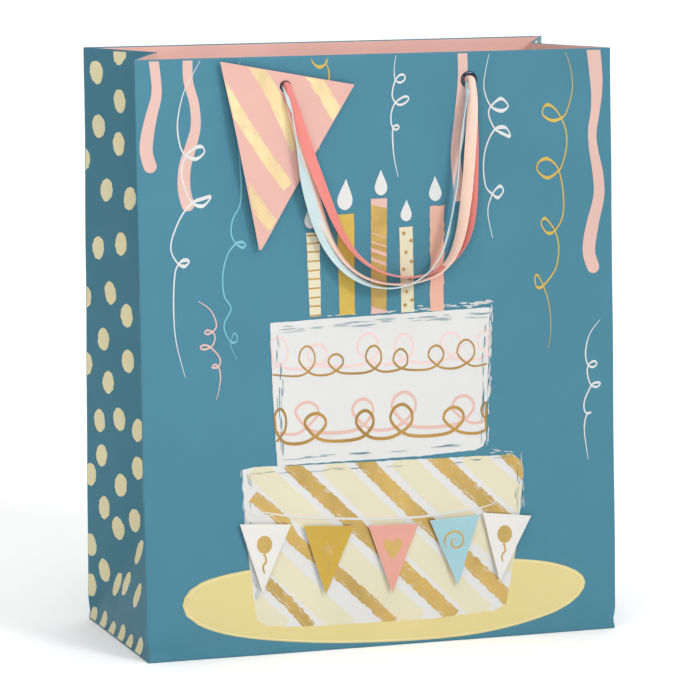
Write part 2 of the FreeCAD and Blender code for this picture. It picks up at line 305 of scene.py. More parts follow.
PLAIN = {key: printed("card_tag_pink" if key == "tag_card" else key, linear(*colour), 0.5, cloud)
         for key, (colour, cloud) in CARD_COLOURS.items()}
PLAIN["paper"] = stock("paper_white", linear(222, 221, 216))
PLAIN["board"] = stock("board_grey", linear(190, 186, 178))
PLAIN["card_edge"] = stock("card_edge_white", linear(228, 224, 218), 0.7)
PLAIN["foam"] = foam()
PLAIN["eyelet"] = gunmetal()
RIBBON_COLOURS = {
    "coral": ribbon_weave("ribbon_coral", linear(222, 126, 118)),
    "peach": ribbon_weave("ribbon_peach", linear(243, 205, 187)),
    "blue": ribbon_weave("ribbon_blue", linear(188, 208, 210)),
}


# ---- mesh helpers ----------------------------------------------------------------
def add_mesh(name, points, faces, materials, kinds=None, sharp=35.0, coordinates=None):
    """An object of these points and faces.

    kinds gives each face's material, and coordinates the UV that each point has in every face."""
    mesh = bpy.data.meshes.new(name)
    mesh.from_pydata([tuple(p) for p in points], [], faces)
    for m in materials:
        mesh.materials.append(m)
    if kinds:
        mesh.polygons.foreach_set("material_index", kinds)
    if coordinates:
        layer = mesh.uv_layers.new(name="weave")
        for loop in mesh.loops:
            layer.data[loop.index].uv = coordinates[loop.vertex_index]
    mesh.polygons.foreach_set("use_smooth", [True] * len(mesh.polygons))
    mesh.set_sharp_from_angle(angle=math.radians(sharp))
    mesh.update()
    made = bpy.data.objects.new(name, mesh)
    bpy.context.scene.collection.objects.link(made)
    return made


def smoothstep(low, high, value):
    t = min(1.0, max(0.0, (value - low) / (high - low)))
    return t * t * (3 - 2 * t)


# ---- ribbons ---------------------------------------------------------------------
RIBBON_WIDTH = 6.0 * MM
RIBBON_THICKNESS = 0.45 * MM
# Each point of a route: metres across and up the panel and out from it, then the ribbon's turn about its
# own line in degrees, and how far it is curled across its width, from 0, flat, to 1, gathered.
RIBBON_ROUTES = {
    "coral": ((-0.0510, 0.3006, -0.0040, 0, 1.0), (-0.0510, 0.3010, 0.0020, 0, 1.0),
              (-0.0508, 0.2990, 0.0056, 4, 0.8), (-0.0490, 0.2905, 0.0054, 10, 0.3),
              (-0.0450, 0.2775, 0.0054, 8, 0.12), (-0.0340, 0.2470, 0.0056, -12, 0.1),
              (-0.0220, 0.2180, 0.0056, -42, 0.1), (-0.0080, 0.2030, 0.0056, -66, 0.1),
              (0.0120, 0.1960, 0.0054, -82, 0.1), (0.0300, 0.1990, 0.0050, -82, 0.1),
              (0.0430, 0.2090, 0.0048, -66, 0.1), (0.0500, 0.2260, 0.0044, -36, 0.1),
              (0.0515, 0.2620, 0.0040, -16, 0.1), (0.0512, 0.2890, 0.0040, -8, 0.4),
              (0.0510, 0.2975, 0.0040, 0, 0.8), (0.0510, 0.2990, 0.0010, 0, 1.0),
              (0.0510, 0.2990, -0.0040, 0, 1.0)),
    "blue": ((-0.0516, 0.2990, -0.0040, 0, 1.0), (-0.0516, 0.2990, 0.0010, 0, 1.0),
             (-0.0512, 0.2978, 0.0044, -40, 0.9), (-0.0502, 0.2890, 0.0050, -76, 0.3),
             (-0.0480, 0.2770, 0.0058, -60, 0.1), (-0.0430, 0.2500, 0.0060, 2, 0.1),
             (-0.0350, 0.2220, 0.0056, 14, 0.1), (-0.0220, 0.2020, 0.0058, -22, 0.1),
             (-0.0030, 0.1910, 0.0064, -76, 0.1), (0.0160, 0.1930, 0.0078, -88, 0.1),
             (0.0300, 0.2040, 0.0082, -98, 0.1), (0.0370, 0.2230, 0.0072, -104, 0.1),
             (0.0420, 0.2530, 0.0060, -82, 0.1), (0.0462, 0.2780, 0.0046, -108, 0.15),
             (0.0488, 0.2925, 0.0040, -106, 0.4), (0.0500, 0.2988, 0.0010, -90, 1.0),
             (0.0500, 0.2990, -0.0040, -90, 1.0)),
    "peach": ((-0.0510, 0.2998, -0.0040, 0, 1.0), (-0.0510, 0.3000, 0.0014, 0, 1.0),
              (-0.0504, 0.2980, 0.0042, 0, 0.8), (-0.0484, 0.2860, 0.0042, 0, 0.3),
              (-0.0446, 0.2710, 0.0042, 0, 0.1), (-0.0378, 0.2430, 0.0042, -10, 0.1),
              (-0.0290, 0.2170, 0.0046, -44, 0.1), (-0.0160, 0.2000, 0.0050, -62, 0.1),
              (0.0030, 0.1930, 0.0052, -74, 0.1), (0.0220, 0.1945, 0.0056, -74, 0.1),
              (0.0350, 0.2015, 0.0062, -64, 0.1), (0.0430, 0.2160, 0.0062, -42, 0.1),
              (0.0475, 0.2430, 0.0058, -20, 0.1), (0.0500, 0.2720, 0.0056, -14, 0.1),
              (0.0510, 0.2900, 0.0058, -8, 0.4), (0.0510, 0.3006, 0.0052, 0, 0.8),
              (0.0510, 0.3012, 0.0010, 0, 1.0), (0.0510, 0.3008, -0.0040, 0, 1.0)),
}
CURL = 1.9                   # radians each side of the middle where a ribbon is fully gathered


def spline_points(points):
    """Points along the NURBS line that has these control points."""
    data = bpy.data.curves.new("route", "CURVE")
    data.dimensions = "3D"
    spline = data.splines.new("NURBS")
    spline.points.add(len(points) - 1)
    for target, point in zip(spline.points, points):
        target.co = (*point, 1)
    spline.order_u = 3
    spline.use_endpoint_u = True
    spline.resolution_u = 10
    holder = bpy.data.objects.new("route", data)
    bpy.context.scene.collection.objects.link(holder)
    line = bpy.data.meshes.new_from_object(holder)
    found = [v.co.copy() for v in line.vertices]
    bpy.data.objects.remove(holder)
    bpy.data.curves.remove(data)
    bpy.data.meshes.remove(line)
    return found


def along(values, share):
    """values read at share of the way along them, with straight lines between."""
    at = share * (len(values) - 1)
    k = min(int(at), len(values) - 2)
    return values[k] + (values[k + 1] - values[k]) * (at - k)


def ribbon_mesh(name, line, turns, curls, material, start_across, width=RIBBON_WIDTH, wrinkle=0.0):
    """A band along line. Its across direction is carried along it untwisted, then turned by turns."""
    cross, rows = 8, len(line)
    points, coordinates, travelled = [], [], 0.0
    across = start_across.copy()
    for k, here in enumerate(line):
        tangent = (line[min(k + 1, rows - 1)] - line[max(k - 1, 0)]).normalized()
        across = (across - tangent * across.dot(tangent)).normalized()
        if k:
            travelled += (here - line[k - 1]).length
        share = k / (rows - 1)
        side = Matrix.Rotation(math.radians(along(turns, share)), 3, tangent) @ across
        face = tangent.cross(side)
        bend = max(0.02, along(curls, share) * CURL)
        radius = width / 2 / bend
        ripple = wrinkle * noise.noise(Vector((travelled * 90, 0, len(name))))
        for layer in (-1, 1):
            for c in range(cross + 1):
                s = 2 * c / cross - 1
                grow = radius + layer * RIBBON_THICKNESS / 2
                sag = math.cos(s * bend) * grow - radius * (1 + math.cos(bend)) / 2
                points.append(here + side * math.sin(s * bend) * grow + face * (sag + ripple * s))
                coordinates.append((travelled / MM, c / cross))
    wide = cross + 1
    step = 2 * wide
    faces = []
    for k in range(rows - 1):
        a, b = k * step, (k + 1) * step
        for c in range(cross):
            faces.append((a + c, a + c + 1, b + c + 1, b + c))
            faces.append((a + wide + c + 1, a + wide + c, b + wide + c, b + wide + c + 1))
        faces.append((a + wide, a, b, b + wide))
        faces.append((a + cross, a + wide + cross, b + wide + cross, b + cross))
    last = (rows - 1) * step
    for c in range(cross):
        faces.append((c + 1, c, wide + c, wide + c + 1))
        faces.append((last + c, last + c + 1, last + wide + c + 1, last + wide + c))
    return add_mesh(name, points, faces, [material], sharp=50, coordinates=coordinates)


def add_handles():
    for side in PANELS:
        direction = PANELS[side][1]
        for colour, route in RIBBON_ROUTES.items():
            line = spline_points([on_panel(side, x, z, out) for x, z, out, _, _ in route])
            name = f"{side}_{colour}_ribbon"
            piece = ribbon_mesh(name + "_woven", line, [p[3] for p in route], [p[4] for p in route],
                                RIBBON_COLOURS[colour], start_across=direction, wrinkle=0.15 * MM)
            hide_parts(name)
            on_panel(side, 0, EYELET_UP, 1.5 * MM)
            on_panel(side, 0, EYELET_UP - 7 * MM, 5 * MM)
            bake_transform(piece)
            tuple(line[0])
            length = sum((b - a).length for a, b in zip(line, line[1:]))
            print(f"{name}: {length:.4f} m")


add_handles()


# ---- the folded sheet: walls ---------------------------------------------------------
FOLD = 1.2 * MM              # radius of the vertical folds
GRID = 2.6 * MM              # about how far apart the sheet's points are
TOP_FOLD = 0.8 * MM          # half the stack of paper, card strip and turned-in paper
PLAIN_FOLD = 0.45 * MM       # the same where there is no card strip
BASE_FOLD = 0.8 * MM         # radius of the fold at the floor
PUNCH = 2.8 * MM             # half of the opening left for an eyelet's barrel
GUSSET_PUSH = 19 * MM        # how deep the middle fold of a side wall is where the creases meet it
MOUTH_SLACK = 1.5 * MM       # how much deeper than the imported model's it is at the mouth
CREASE_ROUND = 2.5 * MM      # how softly a side wall turns at its fold and creases
BASE_STEPS, MOUTH_STEPS = 5, 10               # flat steps round the folds at the floor and the mouth
HEM_INK_TURN = math.radians(168)              # turn round the mouth's fold where the hem's ink starts
KNOCK_UP = 4.5 * MM          # height of the knocks in the lower corners, and their reach from there
# how deep each knock is in millimetres, by wall and hand
CORNER_KNOCKS = {("front", -1): 2.4, ("front", 1): 1.4, ("back", -1): 1.0, ("back", 1): 0.8}
# small knocks in the front's top edge: metres across, how deep, how wide, how long and how slanted
TOP_KNOCKS = ((-0.006, 0.00045, 0.0022, 0.016, 0.5), (0.006, 0.0005, 0.0026, 0.022, -0.3),
              (0.014, 0.00035, 0.002, 0.012, 0.8), (-0.083, 0.0003, 0.0024, 0.012, 0.4))


def drift(seed, x, y=0.0):
    """A smooth wandering value between about -1 and 1, different for each seed."""
    return noise.noise(Vector((x, y, seed * 17.3)))


def spaced(stops, step):
    """Values from the first stop to the last, about a step apart, with every stop among them."""
    found = [stops[0]]
    for a, b in zip(stops, stops[1:]):
        count = max(1, round((b - a) / step))
        found += [a + (b - a) * (k + 1) / count for k in range(count)]
    return found


def edge_shift(side, hand, up):
    """How far a vertical edge stands from its straight line: a slight wander, and knocked lower corners."""
    turn = -1 if side == "back" else 1
    seed = (1 if side == "front" else 2) + (10 if hand > 0 else 0)
    wander = 0.45 * MM * drift(seed, up * 16) * smoothstep(0, 0.02, up)
    crush = CORNER_KNOCKS[side, hand] * MM * math.exp(-((up - KNOCK_UP) / KNOCK_UP) ** 2)
    return Vector((wander - hand * crush * 0.7, turn * crush * 0.5, 0))


def edge_point(side, hand, up):
    """A corner edge of the bag; hand is -1 for the bag's left, 1 for its right."""
    across = hand * HALF_WIDTH * (-1 if side == "back" else 1)
    return on_panel(side, across, up) + edge_shift(side, hand, up)


def panel_relief(side, across, up):
    """How far the paper stands out from the flat panel. The card strip keeps the top calm."""
    seed = 31 if side == "front" else 37
    free = 1 - (abs(across) / HALF_WIDTH) ** 5
    calm = 1 - 0.85 * smoothstep(HEM_FOOT - 0.03, HEM_FOOT + 0.004, up)
    foot = smoothstep(0, 0.03, up)
    swell = 1.0 * MM * math.cos(across / HALF_WIDTH * math.pi / 2) * math.sin(math.pi * min(1, up / HEM_FOOT))
    wave = 0.7 * MM * drift(seed, across * 13, up * 10) + 0.3 * MM * drift(seed + 1, across * 34, up * 22)
    hem_line = -0.12 * MM * math.exp(-((up - HEM_FOOT) / (3 * MM)) ** 2)
    out = free * (calm * foot * (wave + (swell if side == "front" else 1.6 * swell)) + hem_line)
    if side == "front":
        for at, deep, wide, long, slant in TOP_KNOCKS:
            down = PANEL_HEIGHT - up
            off = (across - at - slant * down) / wide
            out -= deep * math.exp(-off * off) * math.exp(-(down / long) ** 2)
    return out


def panel_point(side, across, up):
    """A point of the printed face of the front or back wall."""
    here = on_panel(side, across, up, panel_relief(side, across, up))
    turn = -1 if side == "back" else 1
    for hand in (-1, 1):
        near = (1 + across * hand * turn / HALF_WIDTH) / 2
        here += edge_shift(side, hand, up) * smoothstep(0.75, 1.0, near)
    return here


def gusset_span(up):
    """Half the depth of a side wall at this height, and its middle."""
    front, back = on_panel("front", 0, up), on_panel("back", 0, up)
    return (back.y - front.y) / 2, (front + back) / 2


def gusset_point(hand, share, up):
    """A point of a side wall; share goes from -1 to 1 from left to right as seen from outside it."""
    half, middle = gusset_span(up)
    y = middle.y + share * half * hand
    rise = max(0, (up - CREASE_HEIGHT) / (PANEL_HEIGHT - CREASE_HEIGHT))
    deep = GUSSET_PUSH + (PUSH_TOP + MOUTH_SLACK - GUSSET_PUSH) * rise
    # each half slants in from its edge; below the creases from the foot's corners the wall leans in
    away, lift = half * (1 - abs(share)), half * up / CREASE_HEIGHT
    push = deep / half * max(0, away + lift - math.hypot(away - lift, CREASE_ROUND)) / 2
    free = 1 - share ** 6
    foot = smoothstep(0, 0.03, up)
    seed = 51 if hand < 0 else 57
    broad, fine = drift(seed, share * 1.6, up * 9), drift(seed + 1, share * 3, up * 24)
    push -= free * foot * (0.9 * MM * broad + 0.5 * MM * fine)
    # the slanting creases that folding flat leaves, and a short one at the back edge
    line = up - CREASE_HEIGHT * (1 - abs(share))
    ridge = math.exp(line / (9 * MM)) if line < 0 else math.exp(-line / (4 * MM))
    push += 0.5 * MM * ridge * free * foot
    short = up - (72 * MM + (y - 45 * MM) * 0.1)
    push += 0.5 * MM * math.exp(-(short / (1.5 * MM)) ** 2) * smoothstep(36 * MM, 52 * MM, y) * free
    front, back = edge_point("front", hand, up), edge_point("back", hand, up)
    base = front.lerp(back, (1 + share * hand) / 2)
    return base - X_AXIS * hand * push


class Wall:
    """A wall of the sheet as a grid, and the map from its own coordinates to the bag's.

    The first coordinate runs from left to right as seen from outside, from the wall's middle."""

    def __init__(self, columns, rows, point, half_width):
        self.columns, self.rows, self.half_width = columns, rows, half_width
        self.points = [[point(c, r) for c in columns] for r in rows]

    def cell(self, values, at):
        k = bisect_right(values, at, 1, len(values) - 1) - 1
        return k, (at - values[k]) / (values[k + 1] - values[k])

    def at(self, across, up, out=0.0):
        """The point that far across and up, out from the printed face."""
        i, s = self.cell(self.columns, across / self.half_width(up))
        j, t = self.cell(self.rows, up)
        low, high = self.points[j], self.points[j + 1]
        here = low[i].lerp(low[i + 1], s).lerp(high[i].lerp(high[i + 1], s), t)
        right = (low[i + 1] - low[i]).lerp(high[i + 1] - high[i], t)
        rise = (high[i] - low[i]).lerp(high[i + 1] - low[i + 1], s)
        return here + right.cross(rise).normalized() * out


def make_walls():
    top = PANEL_HEIGHT - TOP_FOLD
    rows = spaced([BASE_FOLD, EYELET_UP - PUNCH, EYELET_UP + PUNCH, top], GRID)
    low, high = EYELET_ACROSS - PUNCH, EYELET_ACROSS + PUNCH
    end = HALF_WIDTH - FOLD
    columns = [c / HALF_WIDTH for c in spaced([-end, -high, -low, low, high, end], GRID)]
    shares = spaced([-(1 - FOLD / HALF_DEPTH), 0, 1 - FOLD / HALF_DEPTH], GRID / HALF_DEPTH)
    walls = {}
    for name in ("front", "right", "back", "left"):
        if name in PANELS:
            walls[name] = Wall(columns, rows, lambda c, r, n=name: panel_point(n, c * HALF_WIDTH, r),
                               lambda up: HALF_WIDTH)
        else:
            hand = -1 if name == "left" else 1
            walls[name] = Wall(shares, rows, lambda c, r, h=hand: gusset_point(h, c, r),
                               lambda up: gusset_span(up)[0])
    return walls


WALLS = make_walls()
# each wall and the hand of the edge after it
RING = (("front", 1), ("right", 1), ("back", -1), ("left", -1))
CORNER_STEPS = 4


def sheet_rings():
    """The printed face as closed rings from foot to top.

    Also half the thickness of the top fold at each column, and the punched cells."""
    rings, folds, punched = [], [], set()
    rows = WALLS["front"].rows
    for j, up in enumerate(rows):
        ring = []
        for k, (name, hand) in enumerate(RING):
            wall = WALLS[name]
            after = WALLS[RING[(k + 1) % 4][0]]
            for i, here in enumerate(wall.points[j]):
                if j == 0:
                    inner = HALF_WIDTH * (1 - abs(wall.columns[i]))
                    stiff = smoothstep(2.5 * MM, 8 * MM, inner) if name in PANELS else 0
                    folds.append(PLAIN_FOLD + (TOP_FOLD - PLAIN_FOLD) * stiff)
                if name in PANELS and i + 1 < len(wall.columns) and j + 1 < len(rows):
                    across = abs(wall.columns[i] + wall.columns[i + 1]) / 2 * HALF_WIDTH
                    height = (up + rows[j + 1]) / 2
                    if abs(across - EYELET_ACROSS) < PUNCH and abs(height - EYELET_UP) < PUNCH:
                        punched.add((len(ring), j))
                ring.append(here)
            edge = "front" if name in ("left", "front") else "back"
            sharp = edge_point(edge, hand, up)
            first, last = wall.points[j][-1], after.points[j][0]
            for c in range(1, CORNER_STEPS):
                t = c / CORNER_STEPS
                ring.append(first.lerp(sharp, t).lerp(sharp.lerp(last, t), t))
                if j == 0:
                    folds.append(PLAIN_FOLD)
        rings.append(ring)
    return rings, folds, punched


def add_sheet():
    """The whole bag is one sheet: base fold, walls, fold over the mouth and the hem turned down inside."""
    rings, folds, punched = sheet_rings()
    count, rows = len(folds), WALLS["front"].rows
    around = range(count)

    def inward(j, i):
        low, high = max(j - 1, 0), min(j + 1, len(rings) - 1)
        tangent = rings[j][(i + 1) % count] - rings[j][i - 1]
        return -tangent.cross(rings[high][i] - rings[low][i]).normalized()

    level = [(inward(0, i) * Vector((1, 1, 0))).normalized() for i in around]
    layers = []        # each is (printed points, bare points, row for the punch or None, ink)
    for k in range(BASE_STEPS):
        turn = math.pi / 2 * (1 - k / BASE_STEPS)
        both = [[rings[0][i] + level[i] * (BASE_FOLD - r * math.cos(turn)) - Z_AXIS * r * math.sin(turn)
                 for i in around] for r in (BASE_FOLD, BASE_FOLD - PAPER)]
        layers.append((*both, None, 0))
    insides = [[inward(j, i) for i in around] for j in range(len(rings))]
    for j, ring in enumerate(rings):
        layers.append((ring, [p + n * PAPER for p, n in zip(ring, insides[j])], j, 0))
    top, into = rings[-1], insides[-1]
    rises = [(rings[-1][i] - rings[-2][i]).normalized() for i in around]
    for k in range(1, MOUTH_STEPS):
        turn = math.pi * k / MOUTH_STEPS
        both = []
        for inset in (0, PAPER):
            line = []
            for i in around:
                radius = folds[i] - inset
                line.append(top[i] + into[i] * (folds[i] - radius * math.cos(turn))
                            + rises[i] * (TOP_FOLD - folds[i] + radius * math.sin(turn)))
            both.append(line)
        layers.append((*both, None, 0 if turn < HEM_INK_TURN else 1))
    for j in range(len(rows) - 1, -1, -1):
        if rows[j] < HEM_FOOT:
            break
        printed_side = [rings[j][i] + insides[j][i] * 2 * folds[i] for i in around]
        bare = [rings[j][i] + insides[j][i] * (2 * folds[i] - PAPER) for i in around]
        layers.append((printed_side, bare, j - 1, 1))
    points, faces, kinds = [], [], []
    for printed_side, bare, _, _ in layers:
        points += printed_side + bare
    step = 2 * count

    def present(i, k):
        if not 0 <= k < len(layers) - 1:
            return False
        row = layers[k][2]
        return row is None or (i, row) not in punched

    for k in range(len(layers) - 1):
        ink = layers[k + 1][3]
        for i in around:
            if not present(i, k):
                continue
            n = (i + 1) % count
            a, b = k * step, (k + 1) * step
            faces.append((a + i, a + n, b + n, b + i))
            faces.append((a + count + n, a + count + i, b + count + i, b + count + n))
            kinds += [ink, 2]
            sides = (((i, k - 1), (a + n, a + i)), ((i, k + 1), (b + i, b + n)),
                     ((i - 1 if i else count - 1, k), (a + i, b + i)), ((n, k), (b + n, a + n)))
            for neighbour, (p, q) in sides:
                if not present(*neighbour):
                    faces.append((p, q, q + count, p + count))
                    kinds.append(2)
    sheet = add_mesh("bag_sheet", points, faces, [INK["teal"], INK["pink_hem"], PLAIN["paper"]], kinds, 50)
    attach(sheet, "bag")
    parts = ("foot", "front", "back", "hem")
    gussets = [f"{hand}_gusset_{part}" for hand in ("left", "right") for part in parts]
    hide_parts("front_panel", "back_panel", "front_hem", "back_hem", *gussets)


add_sheet()


# ---- flat things on a surface -----------------------------------------------------------
def inside(outline, x, y):
    found = False
    for (x1, y1), (x2, y2) in zip(outline, outline[1:] + outline[:1]):
        if (y1 > y) != (y2 > y) and x < (x2 - x1) * (y - y1) / (y2 - y1) + x1:
            found = not found
    return found


def edge_distance(outline, x, y):
    best = 1e9
    for (x1, y1), (x2, y2) in zip(outline, outline[1:] + outline[:1]):
        dx, dy = x2 - x1, y2 - y1
        t = min(1, max(0, ((x - x1) * dx + (y - y1) * dy) / (dx * dx + dy * dy or 1)))
        best = min(best, math.hypot(x - x1 - t * dx, y - y1 - t * dy))
    return best


def clipped(outline, bound):
    """The part of outline inside the anticlockwise convex bound."""
    for (x1, y1), (x2, y2) in zip(bound, bound[1:] + bound[:1]):
        kept = []
        sides = [(x2 - x1) * (y - y1) - (y2 - y1) * (x - x1) for x, y in outline]
        for k, (point, side) in enumerate(zip(outline, sides)):
            before, prior = outline[k - 1], sides[k - 1]
            if (side >= 0) != (prior >= 0):
                t = prior / (prior - side)
                kept.append((before[0] + (point[0] - before[0]) * t, before[1] + (point[1] - before[1]) * t))
            if side >= 0:
                kept.append(point)
        outline = kept
    return outline


def clean(outline, least=0.05):
    """outline without points that lie on each other, anticlockwise."""
    kept = []
    for point in outline:
        if not kept or math.dist(point, kept[-1]) > least:
            kept.append(point)
    while len(kept) > 2 and math.dist(kept[0], kept[-1]) <= least:
        kept.pop()
    area = sum(a[0] * b[1] - b[0] * a[1] for a, b in zip(kept, kept[1:] + kept[:1]))
    return kept if area > 0 else kept[::-1]


def densified(outline, step):
    found = []
    for a, b in zip(outline, outline[1:] + outline[:1]):
        count = max(1, round(math.dist(a, b) / step))
        found += [(a[0] + (b[0] - a[0]) * k / count, a[1] + (b[1] - a[1]) * k / count) for k in range(count)]
    return found


class Flat:
    """Thin closed shapes laid on a surface, gathered into one piece.

    Outlines are millimetres on the surface; place(x, y, out) gives a point, with x, y and out in metres."""

    def __init__(self, place, bound=None, spacing=5.0):
        self.place, self.bound, self.spacing = place, bound, spacing
        self.points, self.faces, self.kinds, self.materials = [], [], [], []

    def kind(self, material):
        if material not in self.materials:
            self.materials.append(material)
        return self.materials.index(material)

    def shape(self, material, outline, low, high, edge=None, holes=(), under=None):
        """A plate over outline from low to high metres off the surface.

        edge is the material of its sides and under that of its back, where they differ."""
        if self.bound:
            outline = clipped(clean(outline), self.bound)
        outline = clean(outline)
        if len(outline) < 3:
            return
        rims = [densified(outline, self.spacing)] + [densified(h, self.spacing) for h in holes]
        flat = [p for rim in rims for p in rim]
        edges, start = [], 0
        for rim in rims:
            edges += [(start + k, start + (k + 1) % len(rim)) for k in range(len(rim))]
            start += len(rim)
        xs, ys = [p[0] for p in rims[0]], [p[1] for p in rims[0]]
        gap = self.spacing
        if max(xs) - min(xs) > 1.5 * gap and max(ys) - min(ys) > 1.5 * gap:
            for a in range(int(min(xs) / gap), int(max(xs) / gap) + 1):
                for b in range(int(min(ys) / gap), int(max(ys) / gap) + 1):
                    x, y = (a + 0.5 * (b % 2)) * gap, b * gap
                    if all(inside(rim, x, y) == (k == 0) and edge_distance(rim, x, y) > 0.45 * gap
                           for k, rim in enumerate(rims)):
                        flat.append((x, y))
        verts, _, triangles, *_ = delaunay_2d_cdt([Vector(p) for p in flat], edges, [], 0, 1e-4)
        kept = []
        for t in triangles:
            x = sum(verts[v][0] for v in t) / 3
            y = sum(verts[v][1] for v in t) / 3
            if inside(rims[0], x, y) and not any(inside(h, x, y) for h in rims[1:]):
                kept.append(tuple(t))
        base, count = len(self.points), len(verts)
        for out in (high, low):
            self.points += [self.place(v[0] * MM, v[1] * MM, out) for v in verts]
        top, side, back = self.kind(material), self.kind(edge or material), self.kind(under or material)
        seen = {}
        for t in kept:
            self.faces.append(tuple(base + v for v in t))
            self.faces.append(tuple(base + count + v for v in reversed(t)))
            self.kinds += [top, back]
            for a, b in zip(t, t[1:] + t[:1]):
                seen[a, b] = True
        for a, b in seen:
            if (b, a) not in seen:
                self.faces.append((base + b, base + a, base + count + a, base + count + b))
                self.kinds.append(side)

    def stroke(self, material, line, width, low, high, rise=0.0, ends=0.35):
        """A drawn line. width is one number, or a function of the share along the line and its direction."""
        if len(line) < 2:
            return
        if self.bound:
            line = [p for p in line if inside(self.bound, *p)]
        count = len(line)
        if count < 3:
            return
        base, kind = len(self.points), self.kind(material)
        for k, (x, y) in enumerate(line):
            before, after = line[max(k - 1, 0)], line[min(k + 1, count - 1)]
            dx, dy = after[0] - before[0], after[1] - before[1]
            size = math.hypot(dx, dy) or 1
            share = k / (count - 1)
            wide = (width(share, dx / size, dy / size) if callable(width) else width) / 2
            wide *= ends + (1 - ends) * min(1, 6 * share, 6 * (1 - share))
            up = high + rise * share
            nx, ny = -dy / size * wide, dx / size * wide
            for hand, out in ((1, up), (-1, up), (-1, low), (1, low)):
                self.points.append(self.place((x + hand * nx) * MM, (y + hand * ny) * MM, out))
        for k in range(count - 1):
            a, b = base + 4 * k, base + 4 * (k + 1)
            for c in range(4):
                d = (c + 1) % 4
                self.faces.append((a + c, a + d, b + d, b + c))
                self.kinds.append(kind)
        end = base + 4 * (count - 1)
        self.faces += [(base + 3, base + 2, base + 1, base), (end, end + 1, end + 2, end + 3)]
        self.kinds += [kind, kind]

    def finish(self, name, body, slot, replaces=()):
        made = add_mesh(name, self.points, self.faces, self.materials, self.kinds)
        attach(made, body)
        if replaces:
            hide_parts(*replaces)
        return made


# ---- drawing helpers: everything printed is in millimetres on its wall ------------------
INK_FOOT = -0.03 * MM


def layer(n):
    """How high the n-th coat of print stands, in metres."""
    return (0.06 + 0.035 * n) * MM


def smooth(points, step, closed=False):
    """A Catmull-Rom line through points, about step apart."""
    ring = [points[-1], *points, points[0], points[1]] if closed else [points[0], *points, points[-1]]
    found = []
    for a, b, c, d in zip(ring, ring[1:], ring[2:], ring[3:]):
        count = max(1, round(math.dist(b, c) / step))
        for k in range(count):
            t = k / count
            found.append(tuple(0.5 * (2 * q + (r - p) * t + (2 * p - 5 * q + 4 * r - s) * t * t
                                      + (3 * q - p - 3 * r + s) * t ** 3) for p, q, r, s in zip(a, b, c, d)))
    return found if closed else found + [points[-1]]


def ragged(outline, amount, step, rng):
    """outline with a hand-painted edge."""
    return [(x + rng.uniform(-amount, amount), y + rng.uniform(-amount, amount))
            for x, y in densified(outline, step)]


def oval(x, y, wide, tall, turn, count=20):
    c, s = math.cos(math.radians(turn)), math.sin(math.radians(turn))
    points = [(wide / 2 * math.cos(math.tau * k / count), tall / 2 * math.sin(math.tau * k / count))
              for k in range(count)]
    return [(x + a * c - b * s, y + a * s + b * c) for a, b in points]


def star(x, y, radius, turn):
    arms = [(radius if k % 2 == 0 else 0.42 * radius, math.radians(turn + 90 + 36 * k)) for k in range(10)]
    return [(x + r * math.cos(a), y + r * math.sin(a)) for r, a in arms]


def walk(line):
    """Each point of a line with the unit direction there and the share of its length so far."""
    lengths = [0.0]
    for a, b in zip(line, line[1:]):
        lengths.append(lengths[-1] + math.dist(a, b))
    for k, (x, y) in enumerate(line):
        before, after = line[max(k - 1, 0)], line[min(k + 1, len(line) - 1)]
        size = math.dist(before, after) or 1
        yield x, y, (after[0] - before[0]) / size, (after[1] - before[1]) / size, lengths[k] / lengths[-1]


def streamer(line, width, round_end):
    """The outline of a ribbon of ink; width is a function of the share along it."""
    left, right = [], []
    for x, y, dx, dy, share in walk(line):
        half = width(share) / 2
        left.append((x - dy * half, y + dx * half))
        right.append((x + dy * half, y - dx * half))
    tip = []
    if round_end:
        x, y, dx, dy, _ = list(walk(line))[-1]
        half = width(1) / 2
        for k in range(1, 8):
            turn = math.pi / 2 - math.pi * k / 8
            ahead, aside = half * math.cos(turn), half * math.sin(turn)
            tip.append((x + dx * ahead - dy * aside, y + dy * ahead + dx * aside))
    return left + tip + right[::-1]


def brush(art, coat, paint, flecks, line, width, rng, rough, dry):
    """A brush stroke with torn edges, and dry gaps near its edges where flecks, the paint below, shows."""
    points = list(walk(smooth(line, 0.9)))
    sides = [[], []]
    for x, y, dx, dy, _ in points:
        for k, hand in enumerate((1, -1)):
            half = width / 2 + rng.uniform(-rough, rough)
            sides[k].append((x - dy * half * hand, y + dx * half * hand))
    art.shape(paint, sides[0] + sides[1][::-1], INK_FOOT, layer(coat))
    for _ in range(dry):
        x, y, dx, dy, _ = rng.choice(points)
        off = rng.choice((-1, 1)) * width * rng.uniform(0.22, 0.5)
        sliver(art, coat + 1, flecks, x - dy * off, y + dx * off, dx, dy,
               rng.uniform(1.2, 5), rng.uniform(0.1, 0.34))


def sliver(art, coat, paint, x, y, dx, dy, length, width):
    """One thin bristle mark."""
    a, b = length / 2, width / 2
    corners = ((-a, 0), (-0.3 * a, b), (0.6 * a, 0.7 * b), (a, 0), (0.4 * a, -b), (-0.5 * a, -0.6 * b))
    art.shape(paint, [(x + p * dx - q * dy, y + p * dy + q * dx) for p, q in corners], INK_FOOT, layer(coat))


def bristles(art, coat, paint, start, end, offset, count, rng, spread, length, width=(0.2, 0.5)):
    """Broken dry-brush marks beside the line from start to end; offset is to its left."""
    size = math.dist(start, end)
    dx, dy = (end[0] - start[0]) / size, (end[1] - start[1]) / size
    for _ in range(count):
        t = rng.uniform(0.02, 0.98) * size
        off = offset + rng.gauss(0, spread)
        tilt = rng.uniform(-0.05, 0.05)
        sliver(art, coat, paint, start[0] + dx * t - dy * off, start[1] + dy * t + dx * off,
               dx - dy * tilt, dy + dx * tilt, rng.uniform(*length), rng.uniform(*width))


